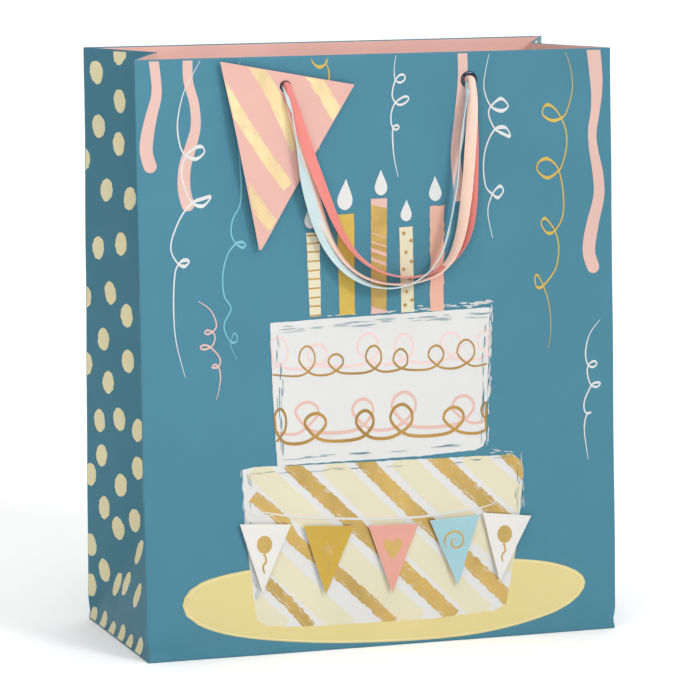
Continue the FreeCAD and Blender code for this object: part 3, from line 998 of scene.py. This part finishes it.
def curl(art, coat, paint, points, thin, bold):
    """A curled party string: a thin line that swells where it runs level."""
    line = smooth(points, 0.9)
    art.stroke(paint, line, lambda share, dx, dy: thin + (bold - thin) * abs(dx) ** 5,
               INK_FOOT, layer(coat), 0.03 * MM)


def scroll(art, coat, paint, loops, base, ends, width):
    """A row of icing loops. Each loop is its middle and half sizes; base is the height between loops."""
    points = [(ends[0], base + 0.6)]
    for x, y, wide, tall in loops:
        points.append((x - wide * 0.9, base - 0.6))
        for turn in (-40, 20, 80, 140, 200):
            a = math.radians(turn)
            points.append((x + wide * math.cos(a), y + tall * math.sin(a)))
        points.append((x + wide * 0.7, base - 0.2))
    points.append((ends[1], base + 0.6))
    art.stroke(paint, smooth(points, 1.0), lambda share, dx, dy: width * (0.85 + 0.3 * abs(dx)),
               INK_FOOT, layer(coat), 0.03 * MM, ends=0.8)


# ---- the printed picture --------------------------------------------------------------
PANEL_BOUND = [(-131.0, 1.0), (131.0, 1.0), (131.0, 314.0), (-131.0, 314.0)]
PLATE = ((-112.5, 29.5), (-102, 41), (-66, 46.8), (-12, 47.5), (48, 44.5), (96, 38.5), (114.5, 27),
         (98, 12), (48, 2.5), (-20, 3), (-76, 9.5), (-104, 18.5))
LOWER_TIER = [(-72, 100.3), (-78.5, 99), (-78.3, 90), (-77, 62), (-72.8, 24.4), (-71.5, 18.5),
              (-66, 15.4), (-48, 13.8), (25, 12.8), (63, 15), (68.5, 18), (75.2, 52.2), (79, 88),
              (78, 95), (73.5, 98.8)]
UPPER_TIER = [(-61.7, 176), (-61.3, 140), (-59.3, 100.5), (20, 101), (51, 102.4), (56, 104),
              (57.6, 108), (59.2, 140), (60.8, 178.6)]
# each foil stripe: its width, how many dry flecks it has, and its line
STRIPES = (
    (8.2, 80, ((-53, 101.5), (-30, 79), (0, 50.5), (38.5, 13))),
    (8.2, 80, ((-14, 102.5), (14, 74), (40, 50), (74, 16.5))),
    (8.4, 80, ((26, 103), (46, 84), (66, 66), (81, 52))),
    (6.5, 16, ((68, 101), (76, 92), (82, 85))),
    (6.5, 60, ((-73, 85), (-57, 71), (-49, 59), (-25.5, 40), (4, 12))),
    (6.0, 44, ((-69, 41.5), (-56, 29), (-42, 13))),
)
CREAM_LINES = (
    ((-72, 100), (-46, 75), (-8, 37), (18, 12)),
    ((-31, 100), (-8, 76), (22, 47), (56, 13)),
    ((8, 101), (34, 75), (58, 54), (80, 35)),
    ((48, 101), (62, 87), (82, 70)),
    ((-74, 62), (-48, 36), (-22, 11)),
    ((-74, 28), (-66, 20), (-58, 13)),
)
# each row of icing: its coat, ink, loops (middle and half sizes), height between them, ends and width
ICING = (
    (5, "pink_pale", ((-58, 160.5, 5.5, 7.8), (-36, 158, 5.2, 5.7), (-8, 161, 5.7, 7),
      (12, 160, 5, 6.6), (38.5, 160.5, 5.6, 5.8), (59, 160.5, 5, 6.3)),
     152, (-61, 59.6), 1.3),
    (7, "foil_deep", ((-42, 156.5, 4.3, 6.3), (-26, 154, 4, 3.8), (-5, 155.5, 4.2, 5.8),
      (10, 153.5, 3.9, 5.3), (30, 155, 4.2, 4.7), (47, 156, 4.8, 6)),
     148, (-61, 59.6), 1.0),
    (5, "pink", ((-42.5, 128, 6.2, 5.2), (-11.5, 127.5, 5.6, 5.8), (11.5, 129, 6.5, 6.8),
      (45, 126.5, 6, 5.6)),
     117.5, (-60, 58.4), 1.6),
    (7, "foil_deep", ((-57.5, 123.5, 3.3, 7), (-38, 122, 5.7, 5), (-10.5, 121.5, 4.7, 5.6),
      (10, 122.5, 6, 6.8), (39.5, 121, 5.6, 5.2), (60, 123.5, 4.5, 5.3)),
     112.8, (-60, 58.4), 1.5),
)
# each candle: left and right at the top, left and right at the foot, height of the top, ink,
# then its flame's tip and lowest point and its width
CANDLES = (((-41.0, -33.8, -40.0, -33.8), 222.2, "cream", (-38.8, 237), (-38.6, 224.5), 6.5),
           ((-24.0, -14.5, -23.5, -15.0), 231.3, "mustard", (-18.5, 249.8), (-19.5, 233.5), 8.5),
           ((-5.0, 4.0, -6.0, 2.5), 238.8, "foil", (0.9, 254), (0.8, 240.5), 7.0),
           ((10.5, 18.0, 11.0, 18.0), 223.2, "cream", (15.0, 237.6), (14.5, 226.3), 6.2),
           ((28.0, 36.0, 27.0, 34.5), 233.8, "salmon", (31.0, 249.6), (31.0, 236.4), 7.0))
CANDLE_STARS = ((13, 220), (17, 216), (14, 210), (17, 205), (12.5, 201), (16, 196), (14, 189),
                (17, 184.5), (13, 182))
# heights of each band's top at its left and right, and how thick it is
CANDLE_BANDS = ((221.4, 218.4, 0.5), (216.8, 214, 0.8), (213.4, 210, 1.9), (208.4, 204.8, 1.7),
                (197.4, 194.4, 1.2), (182, 179.4, 6))
BUNTING = ((-70.7, 77), (-51.5, 73.1), (-26, 70.4), (-7, 69), (16.7, 68.3), (39.9, 69.8), (54.8, 71.3),
           (63.4, 73.5))
BUNTING_TAIL = ((-78, 78.5), (-71, 74.6), (-62, 74.2))
# each streamer: its middle line, its widths along it, and whether its end is round
STREAMERS = (
    (((-122, 317), (-120.5, 298.5), (-123.5, 286.5), (-126, 276), (-126.8, 267), (-124.8, 260)),
     (5.4, 5.2, 6, 7, 7), True),
    (((-103.5, 317), (-103.5, 303.5), (-100.5, 291.5), (-100, 279.5), (-103, 269), (-106.3, 258.5),
      (-106.8, 247.5), (-105, 239.5)),
     (5.4, 5, 5.4, 6.6, 7), True),
    (((47.5, 317), (47.5, 300), (45, 278), (43, 263), (43.5, 250), (45, 236)),
     (5.4, 5.4, 5.4, 6), False),
    (((122, 317), (123.5, 303), (124, 292), (123, 281), (121.2, 270.5), (121.7, 261), (124, 248.5),
      (124.6, 236), (121, 221.5), (118.8, 210.5), (118.8, 204), (121, 197.8)),
     (7.9, 7.4, 5.2, 4.8, 6, 6.4, 7.4, 7), True),
)
# lines of curled party string, by ink and the width where they run level
CURLS = {
    ("white", 2.1): (
        ((-95, 317), (-102, 305), (-106.5, 296.5), (-109.5, 284), (-109.5, 275), (-107, 266.5),
         (-100.5, 263), (-95.5, 266.5), (-98, 269.5), (-105, 265.5), (-108, 257.5), (-107, 250),
         (-103, 240.8), (-97, 238.5), (-92.5, 243), (-97, 242.3), (-103, 240), (-109, 233),
         (-114, 222), (-114.5, 215), (-111, 209), (-107.5, 207.5), (-105, 210), (-108, 210.7),
         (-111, 208.4), (-113, 203), (-114, 187), (-113, 168.5), (-108.5, 149.5)),
        ((63.5, 317), (60.5, 304.5), (59.5, 295), (63, 286), (69, 283), (73, 285.5), (69, 289.5),
         (63.3, 285.5), (62, 281), (65.3, 273.8), (70.5, 270.5), (74, 269.5), (71.5, 274),
         (65.4, 273.2), (60.5, 265), (58.5, 254.5), (59.5, 243.5), (63.2, 239), (66.5, 237),
         (69.5, 240.5), (67.5, 243), (63.2, 238.8), (60.5, 229.5), (63, 215.5)),
    ),
    ("white", 1.3): (
        ((11, 317), (9.5, 309), (9.3, 304), (10, 300.7), (12.5, 299.5), (15, 301), (15, 303.2),
         (12.5, 303.6), (10, 301), (8.5, 297), (8, 292.5), (9.7, 289), (12.5, 287.8), (16, 289.3),
         (17, 291.5), (14.5, 292), (9.8, 289.2), (7.5, 284.5), (7, 279.5), (8.2, 275.7), (10, 274.8),
         (11.5, 276), (10.5, 277.2), (8.2, 275.9), (7.8, 270), (8.5, 260), (10.5, 250)),
        ((124.5, 169), (118.5, 161.5), (116, 152), (117.3, 145), (120.5, 143.5), (122.5, 145.5),
         (120.5, 146.7), (117.5, 144.5), (117, 140), (119, 134), (122.5, 132.6), (124.5, 134.5),
         (122, 135), (119.2, 133.4), (115.4, 126), (115, 121), (116.5, 118.6), (119, 119),
         (116.5, 117.8), (115, 110), (117, 93.5)),
    ),
    ("pale_blue", 1.7): (
        ((-73.5, 317), (-76.5, 309), (-79, 290), (-76.5, 262), (-76.5, 240.5), (-81, 231),
         (-82, 223.5), (-79.5, 218.2), (-76, 216), (-74.3, 217.5), (-76.5, 219), (-80.3, 217.6),
         (-84.5, 212), (-87, 202), (-86.5, 191.5), (-83, 184.5), (-86.5, 177.5), (-86.5, 172.5),
         (-83.5, 167), (-80.5, 167), (-80, 170), (-81.5, 171.5), (-83, 168.5), (-83.5, 164.5),
         (-80.5, 158)),
    ),
    ("pink", 1.1): (
        ((-100.5, 189), (-94, 184), (-91, 176.5), (-92.8, 173), (-96, 171.5), (-97.5, 172.5),
         (-96, 173.7), (-92.8, 172.2), (-92, 169), (-94, 165), (-98.5, 163.6), (-100, 165),
         (-97.5, 166), (-94.2, 164.4), (-90, 159.5), (-89.5, 156), (-91, 154), (-94, 154),
         (-92.5, 155.6), (-90.5, 154.2), (-89.5, 149), (-90.5, 142), (-92, 137)),
    ),
    ("mustard", 2.0): (
        ((104, 317), (108, 308.5), (110, 298), (109.5, 291), (106.5, 281.5), (103, 278), (98, 277),
         (93, 280), (93, 283.5), (95.5, 285.5), (99.5, 283.5), (103.2, 278.3), (106, 271),
         (106, 262.5), (103.5, 253.5), (101.2, 250), (95, 246.5), (89.5, 250), (89.5, 254.5),
         (94, 256.8), (98.5, 254.5), (101.6, 249.7), (103.8, 239), (103.5, 226), (99, 218.2),
         (94.5, 217), (91, 222), (93.5, 224.8), (99, 217.8), (101, 208.5), (99, 197.5), (91.8, 188.8),
         (88, 188.4), (87, 193.5), (88.7, 194.6), (92, 188.3), (95, 179), (96, 166), (94.5, 155)),
        ((-37, 317), (-35.8, 311.5), (-32, 308.8), (-28.3, 311), (-26.5, 317)),
        ((-31, 317), (-28.3, 311), (-27, 302), (-31.7, 281), (-33, 265.5)),
    ),
}


def print_streamers(art):
    for line, widths, round_end in STREAMERS:
        outline = streamer(smooth(line, 3), lambda share, widths=widths: along(widths, share), round_end)
        art.shape(INK["pink"], outline, INK_FOOT, layer(0))
    for (ink, bold), lines in CURLS.items():
        for line in lines:
            curl(art, 1, INK[ink], line, 0.75, bold)


def print_lower_tier(art, rng):
    tier = ragged(LOWER_TIER, 0.25, 3.0, rng)
    art.shape(INK["white"], tier, INK_FOOT, layer(1))
    bound, art.bound = art.bound, LOWER_TIER
    for line in CREAM_LINES:
        brush(art, 2, INK["cream"], INK["white"], line, 12.3, rng, 0.25, 8)
    for wide, dry, line in STRIPES:
        brush(art, 4, INK["foil"], INK["white"], line, wide, rng, 0.45, dry)
    left, right = ((-76.5, 98), (-72.5, 30)), ((77, 94), (74, 54))
    thin = (0.12, 0.3)
    bristles(art, 6, INK["teal"], *left, 1.2, 12, rng, 0.7, (2, 8), thin)
    bristles(art, 6, INK["teal"], left[0], (72, 98.4), -1.6, 16, rng, 0.5, (3, 10), thin)
    bristles(art, 6, INK["teal"], *right, -0.5, 12, rng, 0.5, (2, 7), thin)
    art.bound = bound
    bristles(art, 2, INK["white"], (78, 98), (79, 70), 0.4, 16, rng, 0.5, (2, 7))
    bristles(art, 2, INK["white"], (60, 101.4), (76, 99.5), 0.0, 16, rng, 0.8, (1, 4))
    bristles(art, 2, INK["white"], (-79, 98), (-77.4, 66), 0.0, 10, rng, 0.3, (3, 8))


# bristle marks of the upper tier, worn into it and loose beside it: where each row starts and ends,
# its offset to the left, how many, how scattered, how long and how wide
WORN_MARKS = (((-60, 175.6), (59, 178), -2.4, 15, 0.5, (4, 14), (0.12, 0.35)),
              ((-60, 175.6), (59, 178), -4.2, 15, 0.5, (4, 14), (0.12, 0.35)),
              ((-59.5, 172), (-57.6, 104), 1.4, 26, 0.8, (3, 9), (0.15, 0.4)),
              ((58.4, 174), (56, 108), -0.6, 20, 0.7, (3, 9), (0.15, 0.35)),
              ((-57, 103), (54, 105), 0.8, 16, 0.5, (4, 12), (0.15, 0.35)))
LOOSE_MARKS = (((20, 179.4), (62, 181), 0, 40, 0.9, (1.5, 7), (0.3, 0.9)),
               ((-30, 178.4), (20, 179.4), 0, 12, 0.5, (2, 7), (0.3, 0.6)),
               ((61.6, 179), (60, 130), 0, 34, 0.6, (2, 8), (0.3, 0.8)),
               ((60, 130), (58.4, 106), 0, 8, 0.4, (2, 6), (0.3, 0.6)))


def print_upper_tier(art, rng):
    art.shape(INK["white"], ragged(UPPER_TIER, 0.2, 3.0, rng), INK_FOOT, layer(4))
    bound, art.bound = art.bound, UPPER_TIER
    for coat, ink, loops, base, ends, width in ICING:
        scroll(art, coat, INK[ink], loops, base, ends, width)
    art.bound = bound
    for ink, coat, marks in (("teal", 9, WORN_MARKS), ("white", 5, LOOSE_MARKS)):
        for start, end, offset, count, spread, length, width in marks:
            bristles(art, coat, INK[ink], start, end, offset, count, rng, spread, length, width)


CANDLE_FOOT = 178.0


def print_candles(art, rng):
    bound, shapes = art.bound, []
    for (left, right, low_left, low_right), top, ink, tip, low, wide in CANDLES:
        shapes.append([(low_left, CANDLE_FOOT), (low_right, CANDLE_FOOT + 0.3),
                       (right, top + 0.2), (left, top)])
        edge = ragged(shapes[-1], 0.4 if ink == "salmon" else 0.12, 2.5, rng)
        art.shape(INK[ink], edge, INK_FOOT, layer(6))
        tall, lean = tip[1] - low[1], tip[0] - low[0]
        half = ((0.36, 0.1), (0.5, 0.32), (0.34, 0.6), (0.12, 0.85))
        flame = [(0, 0), *half, (0, 1), *[(-x, y) for x, y in reversed(half)]]
        flame = [(low[0] + x * wide + y * y * lean, low[1] + y * tall) for x, y in flame]
        art.shape(INK["white"], smooth(flame, 1.0, closed=True), INK_FOOT, layer(2))
    art.bound = shapes[0]
    for k in range(10):
        up = 220.3 if k == 0 else 216.3 - 4.77 * (k - 1)
        tilt = 0.3 * math.sin(2.1 * k)
        ring = [(-43, up - tilt), (-31, up + 0.4), (-31, up + 1.2), (-43, up + 0.8 - tilt)]
        art.shape(INK["foil_deep"], ring, INK_FOOT, layer(7))
    art.bound = shapes[2]
    art.shape(INK["pink"], [(-6, 242), (-6, 236), (5, 233.4), (5, 242)], INK_FOOT, layer(8))
    for left, right, thick in CANDLE_BANDS:
        left, right = left + 0.4, right - 0.4
        band = [(-7, left), (-7, left - thick), (4, right - thick), (4, right)]
        art.shape(INK["pink"], band, INK_FOOT, layer(8))
    art.bound = bound
    for k, (x, y) in enumerate(CANDLE_STARS):
        art.shape(INK["foil_deep"], star(x, y, 1.5, 25 * k), INK_FOOT, layer(8))


def print_picture(side):
    art = Flat(WALLS[side].at, PANEL_BOUND)
    rng = random.Random(len(side) * 7)
    print_streamers(art)
    plate = smooth(PLATE, 6, closed=True)
    art.shape(INK["plate"], plate, INK_FOOT, layer(0))
    rim = [(x * 0.985 + 0.2, 25 + (y - 25) * 0.955) for x, y in plate]
    art.stroke(INK["plate_rim"], rim + rim[:2], 0.5, INK_FOOT, layer(1), ends=1.0)
    print_lower_tier(art, rng)
    print_upper_tier(art, rng)
    print_candles(art, rng)
    if side == "front":
        for line, wide in ((BUNTING, 1.1), (BUNTING_TAIL, 0.7)):
            art.stroke(INK["white"], smooth(line, 2), wide, INK_FOOT, layer(9), 0.02 * MM)
    art.finish(side + "_print", "bag", "panel_print")


# one gusset's dots, in millimetres along from the middle towards the back, and up
DOTS = ((42, 302), (25, 313), (25.5, 287.5), (41.5, 273), (26.5, 264.5), (53, 254.5), (36, 239),
        (17.5, 236), (43.5, 207), (24.5, 211), (55, 179.5), (34, 183.5), (20.5, 172.5), (40, 157.5),
        (19.5, 148), (55, 142.5), (36, 134.5), (44.5, 112.5), (27, 115.5), (11.5, 111.5), (43, 93.5),
        (11.5, 91), (53.5, 81.5), (26, 79.5), (41, 65), (14, 62), (28.5, 55.5), (6.5, 46), (55, 42),
        (42.5, 30), (27, 25), (12.5, 28), (-12.5, 26.5), (56, 19.5), (52.5, 1.5), (33.5, 3), (15, 1),
        (-3, 3), (-20, 1), (-38, 3))


DOT_WIDTH, DOT_HEIGHT = 10.6, 12.6


def print_dots(name, hand):
    """Rough dots on a gusset. Its front half is mostly hidden in the photo and repeats the back half."""
    foot, top = ((gusset_span(up * MM)[0] - FOLD) / MM for up in (1, 314))
    bound = [(-foot, 1.0), (foot, 1.0), (top, 314.0), (-top, 314.0)]
    art = Flat(WALLS[name].at, bound, 1.6)
    rng = random.Random(5 if hand < 0 else 6)
    repeated = [(-across, up + 9) for across, up in DOTS if up > 45 and across > 10]
    for across, up in (*DOTS, *repeated):
        wide = DOT_WIDTH - 0.006 * up
        dot = oval(across * hand, up, wide, DOT_HEIGHT, rng.uniform(-12, 12), 28)
        dot = ragged(dot, 0.32, 1.2, rng)
        art.shape(INK["dot"], dot, INK_FOOT, layer(0))
    art.finish(name + "_print", "bag", "gusset_print")


for side_name in PANELS:
    print_picture(side_name)
for wall_name, wall_hand in (("left", -1), ("right", 1)):
    print_dots(wall_name, wall_hand)


# ---- stiffening and glued parts of the sheet ------------------------------------------
def rectangle(left, low, right, high):
    return [(left, low), (right, low), (right, high), (left, high)]


# millimetres: the card strip's half length, its foot and the width of its holes
HEM_CARD_HALF, HEM_CARD_FOOT, HEM_CARD_HOLE = 129, 275.4, 6.1


def add_stiffeners():
    for side in PANELS:
        board = Flat(WALLS[side].at)
        top = PANEL_HEIGHT / MM - 1.1
        holes = [oval(hand * EYELET_ACROSS / MM, EYELET_UP / MM, HEM_CARD_HOLE, HEM_CARD_HOLE, 0, 24)
                 for hand in (-1, 1)]
        strip = rectangle(-HEM_CARD_HALF, HEM_CARD_FOOT, HEM_CARD_HALF, top)
        board.shape(PLAIN["board"], strip, -1.15 * MM, -0.45 * MM, holes=holes)
        board.finish(side + "_hem_card", "bag", "grey_board", [side + "_hem_board"])
    seam = Flat(WALLS["back"].at)
    seam.shape(PLAIN["paper"], rectangle(116, 2.7, 130.8, 274.5), -0.8 * MM, -0.42 * MM)
    seam.finish("glued_seam", "bag", "plain_paper", ["side_seam_flap"])


def add_base():
    """Front and back flaps cross under the bag; they're printed outside and bare inside."""
    half, end = HALF_DEPTH / MM - 0.9, HALF_WIDTH / MM - 1.2
    front = [(-end + 2.5, -half + 1.5), (end - 0.5, -half), (end - 1, 12), (-end + 1, 12)]
    back = [(-end + 1, 12.4), (end - 1, 12.4), (end, half), (-end, half)]
    tongue = rectangle(-end + 1, -12, end - 1, 12.4)
    flaps = Flat(lambda x, y, out: Vector((x, y, out)), spacing=12.0)
    flaps.shape(PLAIN["paper"], front, 0, PAPER, under=INK["teal"])
    flaps.finish("base_front_leaf", "bag", "panel_print", ["base_front_flap"])
    flaps = Flat(lambda x, y, out: Vector((x, y, out)), spacing=12.0)
    flaps.shape(PLAIN["paper"], back, 0, PAPER, under=INK["teal"])
    flaps.shape(PLAIN["paper"], tongue, PAPER, 2 * PAPER, under=INK["teal"])
    flaps.finish("base_back_leaf", "bag", "panel_print", ["base_back_flap"])


def paint(node, material):
    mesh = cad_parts[node].data
    mesh.materials.clear()
    mesh.materials.append(material)


add_stiffeners()
add_base()
paint("base_board", PLAIN["board"])
for hand_name in ("left", "right"):
    paint(f"base_{hand_name}_flap", PLAIN["paper"])
    for side_name in PANELS:
        paint(f"{side_name}_{hand_name}_eyelet", PLAIN["eyelet"])


# ---- knots behind the eyelets ---------------------------------------------------------
def joined(name, parts):
    """Several meshes as one object, each keeping its own material and weave."""
    points, faces, kinds, materials, coordinates = [], [], [], [], []
    for k, part in enumerate(parts):
        mesh, base = part.data, len(points)
        uv = {loop.vertex_index: tuple(mesh.uv_layers[0].data[loop.index].uv) for loop in mesh.loops}
        points += [v.co.copy() for v in mesh.vertices]
        coordinates += [uv[v.index] for v in mesh.vertices]
        faces += [tuple(base + v for v in p.vertices) for p in mesh.polygons]
        kinds += [k] * len(mesh.polygons)
        materials.append(mesh.materials[0])
        bpy.data.objects.remove(part)
    return add_mesh(name, points, faces, materials, kinds, 50, coordinates)


def add_knots():
    """Each handle end's three ribbons are knotted together behind the hem and their tails hang inside."""
    for side in PANELS:
        for hand_name, hand in (("left", -1), ("right", 1)):
            sign = hand if side == "front" else -hand
            strands = []
            for k, colour in enumerate(RIBBON_COLOURS):
                depth, start = -4.6 - 0.7 * k, 120 * k + 40
                route = [(0.5 * (k - 1), 0.0, -2.4)]
                for turn in range(0, 451, 45):
                    a = math.radians(start + turn)
                    radius = 2.9 + 0.35 * k
                    route.append((radius * math.cos(a), radius * math.sin(a), depth - 0.4 * math.sin(a / 2)))
                x = 3.2 * (k - 1)
                route += [(x * 0.6, -3.6, depth - 0.6), (x, -8.0, -5.2 - 0.8 * k),
                          (x * 1.3, -12.0, -4.4 - 0.8 * k), (x * 1.5 + 0.6, -16.0, -4.2 - 0.6 * k)]
                middle = sign * EYELET_ACROSS
                line = spline_points([on_panel(side, middle + x * MM, EYELET_UP + y * MM, out * MM)
                                      for x, y, out in route])
                count = len(route)
                curls = [1.0] + [0.75] * (count - 5) + [0.5, 0.3, 0.2, 0.15]
                turns = [0.0] * (count - 4) + [10.0 * (k - 1)] * 4
                strands.append(ribbon_mesh(f"strand_{colour}", line, turns, curls, RIBBON_COLOURS[colour],
                                           width=4.6 * MM, start_across=PANELS[side][1]))
            knot = joined(f"{side}_{hand_name}_tied_knot", strands)
            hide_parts(f"{side}_{hand_name}_knot")
            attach(knot, "bag")


add_knots()


# ---- gift tag --------------------------------------------------------------------------
TAG_HOLE = (-51.7, 299.3)    # millimetres on the front panel
TAG_TILT = math.radians(-10.7)
TAG_BACK = 2.2 * MM          # from the printed panel to the back of the card
TAG_HEIGHT, TAG_HALF = 93, 37.5               # millimetres
TAG_DROP = 7                                  # from the card's top edge down to its hole
TAG_HOLE_WIDTH = 6.4
TAG_CARD = 0.6 * MM
# from the card's back to the foot and the top of the foil, and to the top of the gaps in it
TAG_FOIL_FOOT, TAG_FOIL_TOP, TAG_GAP_TOP = 0.57 * MM, 0.65 * MM, 0.69 * MM
TAG_OUTLINE = [(-37.3, 0.0), (-0.6, -TAG_HEIGHT), (0.6, -TAG_HEIGHT), (37.3, 0.0)]
TAG_STRIPES = (((-19, 2), (-8, -10), (4, -26), (12, -38)), ((-36, -11), (-14, -35.5), (10, -58.5)),
               ((-19.5, -58), (-7, -69.5), (5, -80)), ((12.5, 2), (22, -8), (33, -20)))


def tag_point(x, y, out):
    """A point of the card, whose short side's middle is 0, 0. Its long left side curls off the bag."""
    down = min(1, max(0, -y / (TAG_HEIGHT * MM)))
    inward = (x + TAG_HALF * MM * (1 - down)) * math.cos(math.atan2(TAG_HALF, TAG_HEIGHT))
    curled = 3.1 * MM * math.exp(-(inward / (15 * MM)) ** 2) * (0.25 + 0.75 * smoothstep(0, 0.4, down))
    curled *= 1 - 0.35 * down ** 4
    c, s = math.cos(TAG_TILT), math.sin(TAG_TILT)
    y += TAG_DROP * MM
    return on_panel("front", TAG_HOLE[0] * MM + x * c - y * s, TAG_HOLE[1] * MM + x * s + y * c,
                    TAG_BACK + curled + out)


def add_tag():
    rng = random.Random(3)
    hole = oval(0, -TAG_DROP, TAG_HOLE_WIDTH, TAG_HOLE_WIDTH, 0, 28)
    card = Flat(tag_point, spacing=4.0)
    edge = PLAIN["card_edge"]
    card.shape(PLAIN["tag_card"], TAG_OUTLINE, 0, TAG_CARD, edge, [hole], edge)
    card.bound = clean([(-36.9, -0.4), (0, -92.0), (36.9, -0.4)], 0)
    for k, line in enumerate(TAG_STRIPES):
        foil_stripe(card, line, (7.6, 6.6, 7.6, 7.4)[k], rng)
    card.finish("party_tag", "tag", "tag_card", ["gift_tag"])


def foil_stripe(card, line, width, rng):
    """A brushed foil stripe on the tag."""
    points = list(walk(smooth(line, 1.6)))
    edges = [[(x - hand * dy * (width / 2 + rng.uniform(-0.3, 0.3)), y + hand * dx * width / 2)
              for x, y, dx, dy, _ in points] for hand in (1, -1)]
    card.shape(INK["foil_pale"], edges[0] + edges[1][::-1], TAG_FOIL_FOOT, TAG_FOIL_TOP)
    for _ in range(14):
        x, y, dx, dy, _ = rng.choice(points)
        off = rng.choice((-1, 1)) * width * rng.uniform(0.3, 0.5)
        length, wide = rng.uniform(3, 9), rng.uniform(0.2, 0.45)
        spot = [(x - dy * (off + b * wide) + a * length * dx, y + dx * (off + b * wide) + a * length * dy)
                for a, b in ((-0.5, 0), (0, -0.5), (0.5, 0), (0, 0.5))]
        card.shape(PLAIN["tag_card"], spot, TAG_FOIL_FOOT, TAG_GAP_TOP)


add_tag()


# ---- raised pennants --------------------------------------------------------------------
# each pennant: middle of its top edge across and up the front, tilt in degrees, card and motif
PENNANTS = ((-67, 70, -3.5, "card_white", "balloon"), (-32, 67, -3.5, "card_mustard", "star"),
            (4, 65.5, -1.5, "card_pink", "heart"), (38.5, 67, 2.5, "card_blue", "swirl"),
            (68.5, 67, -7, "card_white", "balloon"))
PENNANT_WIDTH, PENNANT_HEIGHT, PENNANT_CARD = 28.0, 36.5, 0.5 * MM
PAD_SIDE, PAD_HEIGHT = 11.0, 1.5 * MM


def motif(kind):
    """Generic party shapes as closed outlines and drawn lines, around the pennant's own middle."""
    if kind == "star":
        return [star(0, -12.5, 5.2, 8)], [((0.5, -18), (1.6, -21), (0.2, -24.5))]
    if kind == "heart":
        half = [(0, -18.5), (3.4, -14.6), (5.3, -11.2), (4.6, -8.2), (2.2, -7.6), (0, -9.9)]
        return [half + [(-x, y) for x, y in reversed(half[1:-1])]], []
    if kind == "swirl":
        return [], [tuple((0.55 * k ** 0.9 * math.cos(0.62 * k), -12.8 + 0.55 * k ** 0.9 * math.sin(0.62 * k))
                          for k in range(1, 17))]
    return [oval(0, -10.8, 8.4, 9.6, 8), [(-0.8, -16.6), (0.2, -15.2), (1.2, -16.8)]], \
        [((0.3, -16.4), (1.3, -19.5), (-0.4, -22.5), (0.6, -26))]


def add_pennants():
    wall = WALLS["front"]
    for k, (across, up, tilt, card, drawn) in enumerate(PENNANTS):
        c, s = math.cos(math.radians(tilt)), math.sin(math.radians(tilt))

        def place(x, y, out, origin=(across * MM, up * MM), c=c, s=s):
            if out > 1.4 * MM:       # the card bends up off its pad, towards its tip and sides
                out += 0.9 * MM * smoothstep(12 * MM, 36 * MM, -y)
                out += 0.5 * MM * smoothstep(6 * MM, 15 * MM, abs(x))
            return wall.at(origin[0] + x * c - y * s, origin[1] + x * s + y * c, out)

        pad = Flat(place, spacing=3.0)
        side = PAD_SIDE / 2
        pad.shape(PLAIN["foam"], rectangle(-side, -10 - side, side, -10 + side), INK_FOOT, PAD_HEIGHT)
        pad.finish(f"pad_{k + 1}", "bag", "foam", [f"foam_pad_{k + 1}"])
        piece = Flat(place, spacing=3.0)
        half = PENNANT_WIDTH / 2
        outline = [(-half, 0), (0, -PENNANT_HEIGHT), (half, 0)]
        face = PAD_HEIGHT + PENNANT_CARD
        piece.shape(PLAIN[card], outline, PAD_HEIGHT, face, PLAIN["card_edge"], (), PLAIN["card_edge"])
        low, high = face - 0.03 * MM, face + 0.06 * MM
        shapes, lines = motif(drawn)
        gold = INK["foil"]
        for outline in shapes:
            piece.shape(gold, outline, low, high)
        for line in lines:
            piece.stroke(gold, smooth(line, 0.8), 1.1, low, high, 0.02 * MM)
        piece.finish(f"bunting_{k + 1}", "bag", card, [f"pennant_{k + 1}"])


add_pennants()


# ---- floor and light --------------------------------------------------------------------
def add_floor():
    made = Shader("floor_white", 0.9, specular=0.1)
    made.surface.inputs["Base Color"].default_value = (0.95, 0.95, 0.95, 1)
    size = 60.0
    floor = add_mesh("floor", [(-size, -size, 0), (size, -size, 0), (size, size, 0), (-size, size, 0)],
                     [(0, 1, 2, 3)], [made.material])
    floor.location.z = -0.02 * MM


def add_sun(name, azimuth, elevation, strength, angle):
    """Light from azimuth degrees to the right of the bag's front and elevation above the floor."""
    data = bpy.data.lights.new(name, "SUN")
    data.energy, data.angle = strength, math.radians(angle)
    lamp = bpy.data.objects.new(name, data)
    a, e = math.radians(azimuth), math.radians(elevation)
    towards = Vector((math.sin(a) * math.cos(e), -math.cos(a) * math.cos(e), math.sin(e)))
    lamp.rotation_mode = "QUATERNION"
    lamp.rotation_quaternion = towards.to_track_quat("Z", "Y")
    bpy.context.scene.collection.objects.link(lamp)


def add_light():
    world = bpy.data.worlds.new("studio")
    bpy.context.scene.world = world
    world.use_nodes = True
    background = world.node_tree.nodes["Background"]
    background.inputs["Color"].default_value = (1, 1, 1, 1)
    background.inputs["Strength"].default_value = 0.3
    add_sun("key", 27, 30, 1.2, 15)
    add_sun("overhead", 0, 85, 1.8, 70)
    add_sun("behind", 165, 35, 0.7, 60)
    data = bpy.data.lights.new("fill", "AREA")
    data.energy, data.size = 0.45, 0.25
    fill = bpy.data.objects.new("fill", data)
    fill.location = (-0.15, -0.43, 0.37)
    fill.rotation_mode = "QUATERNION"
    fill.rotation_quaternion = (fill.location - Vector((0, 0, 0.2))).to_track_quat("Z", "Y")
    fill.visible_camera = False
    bpy.context.scene.collection.objects.link(fill)
    bpy.context.scene.view_settings.view_transform = "Standard"


add_floor()
add_light()
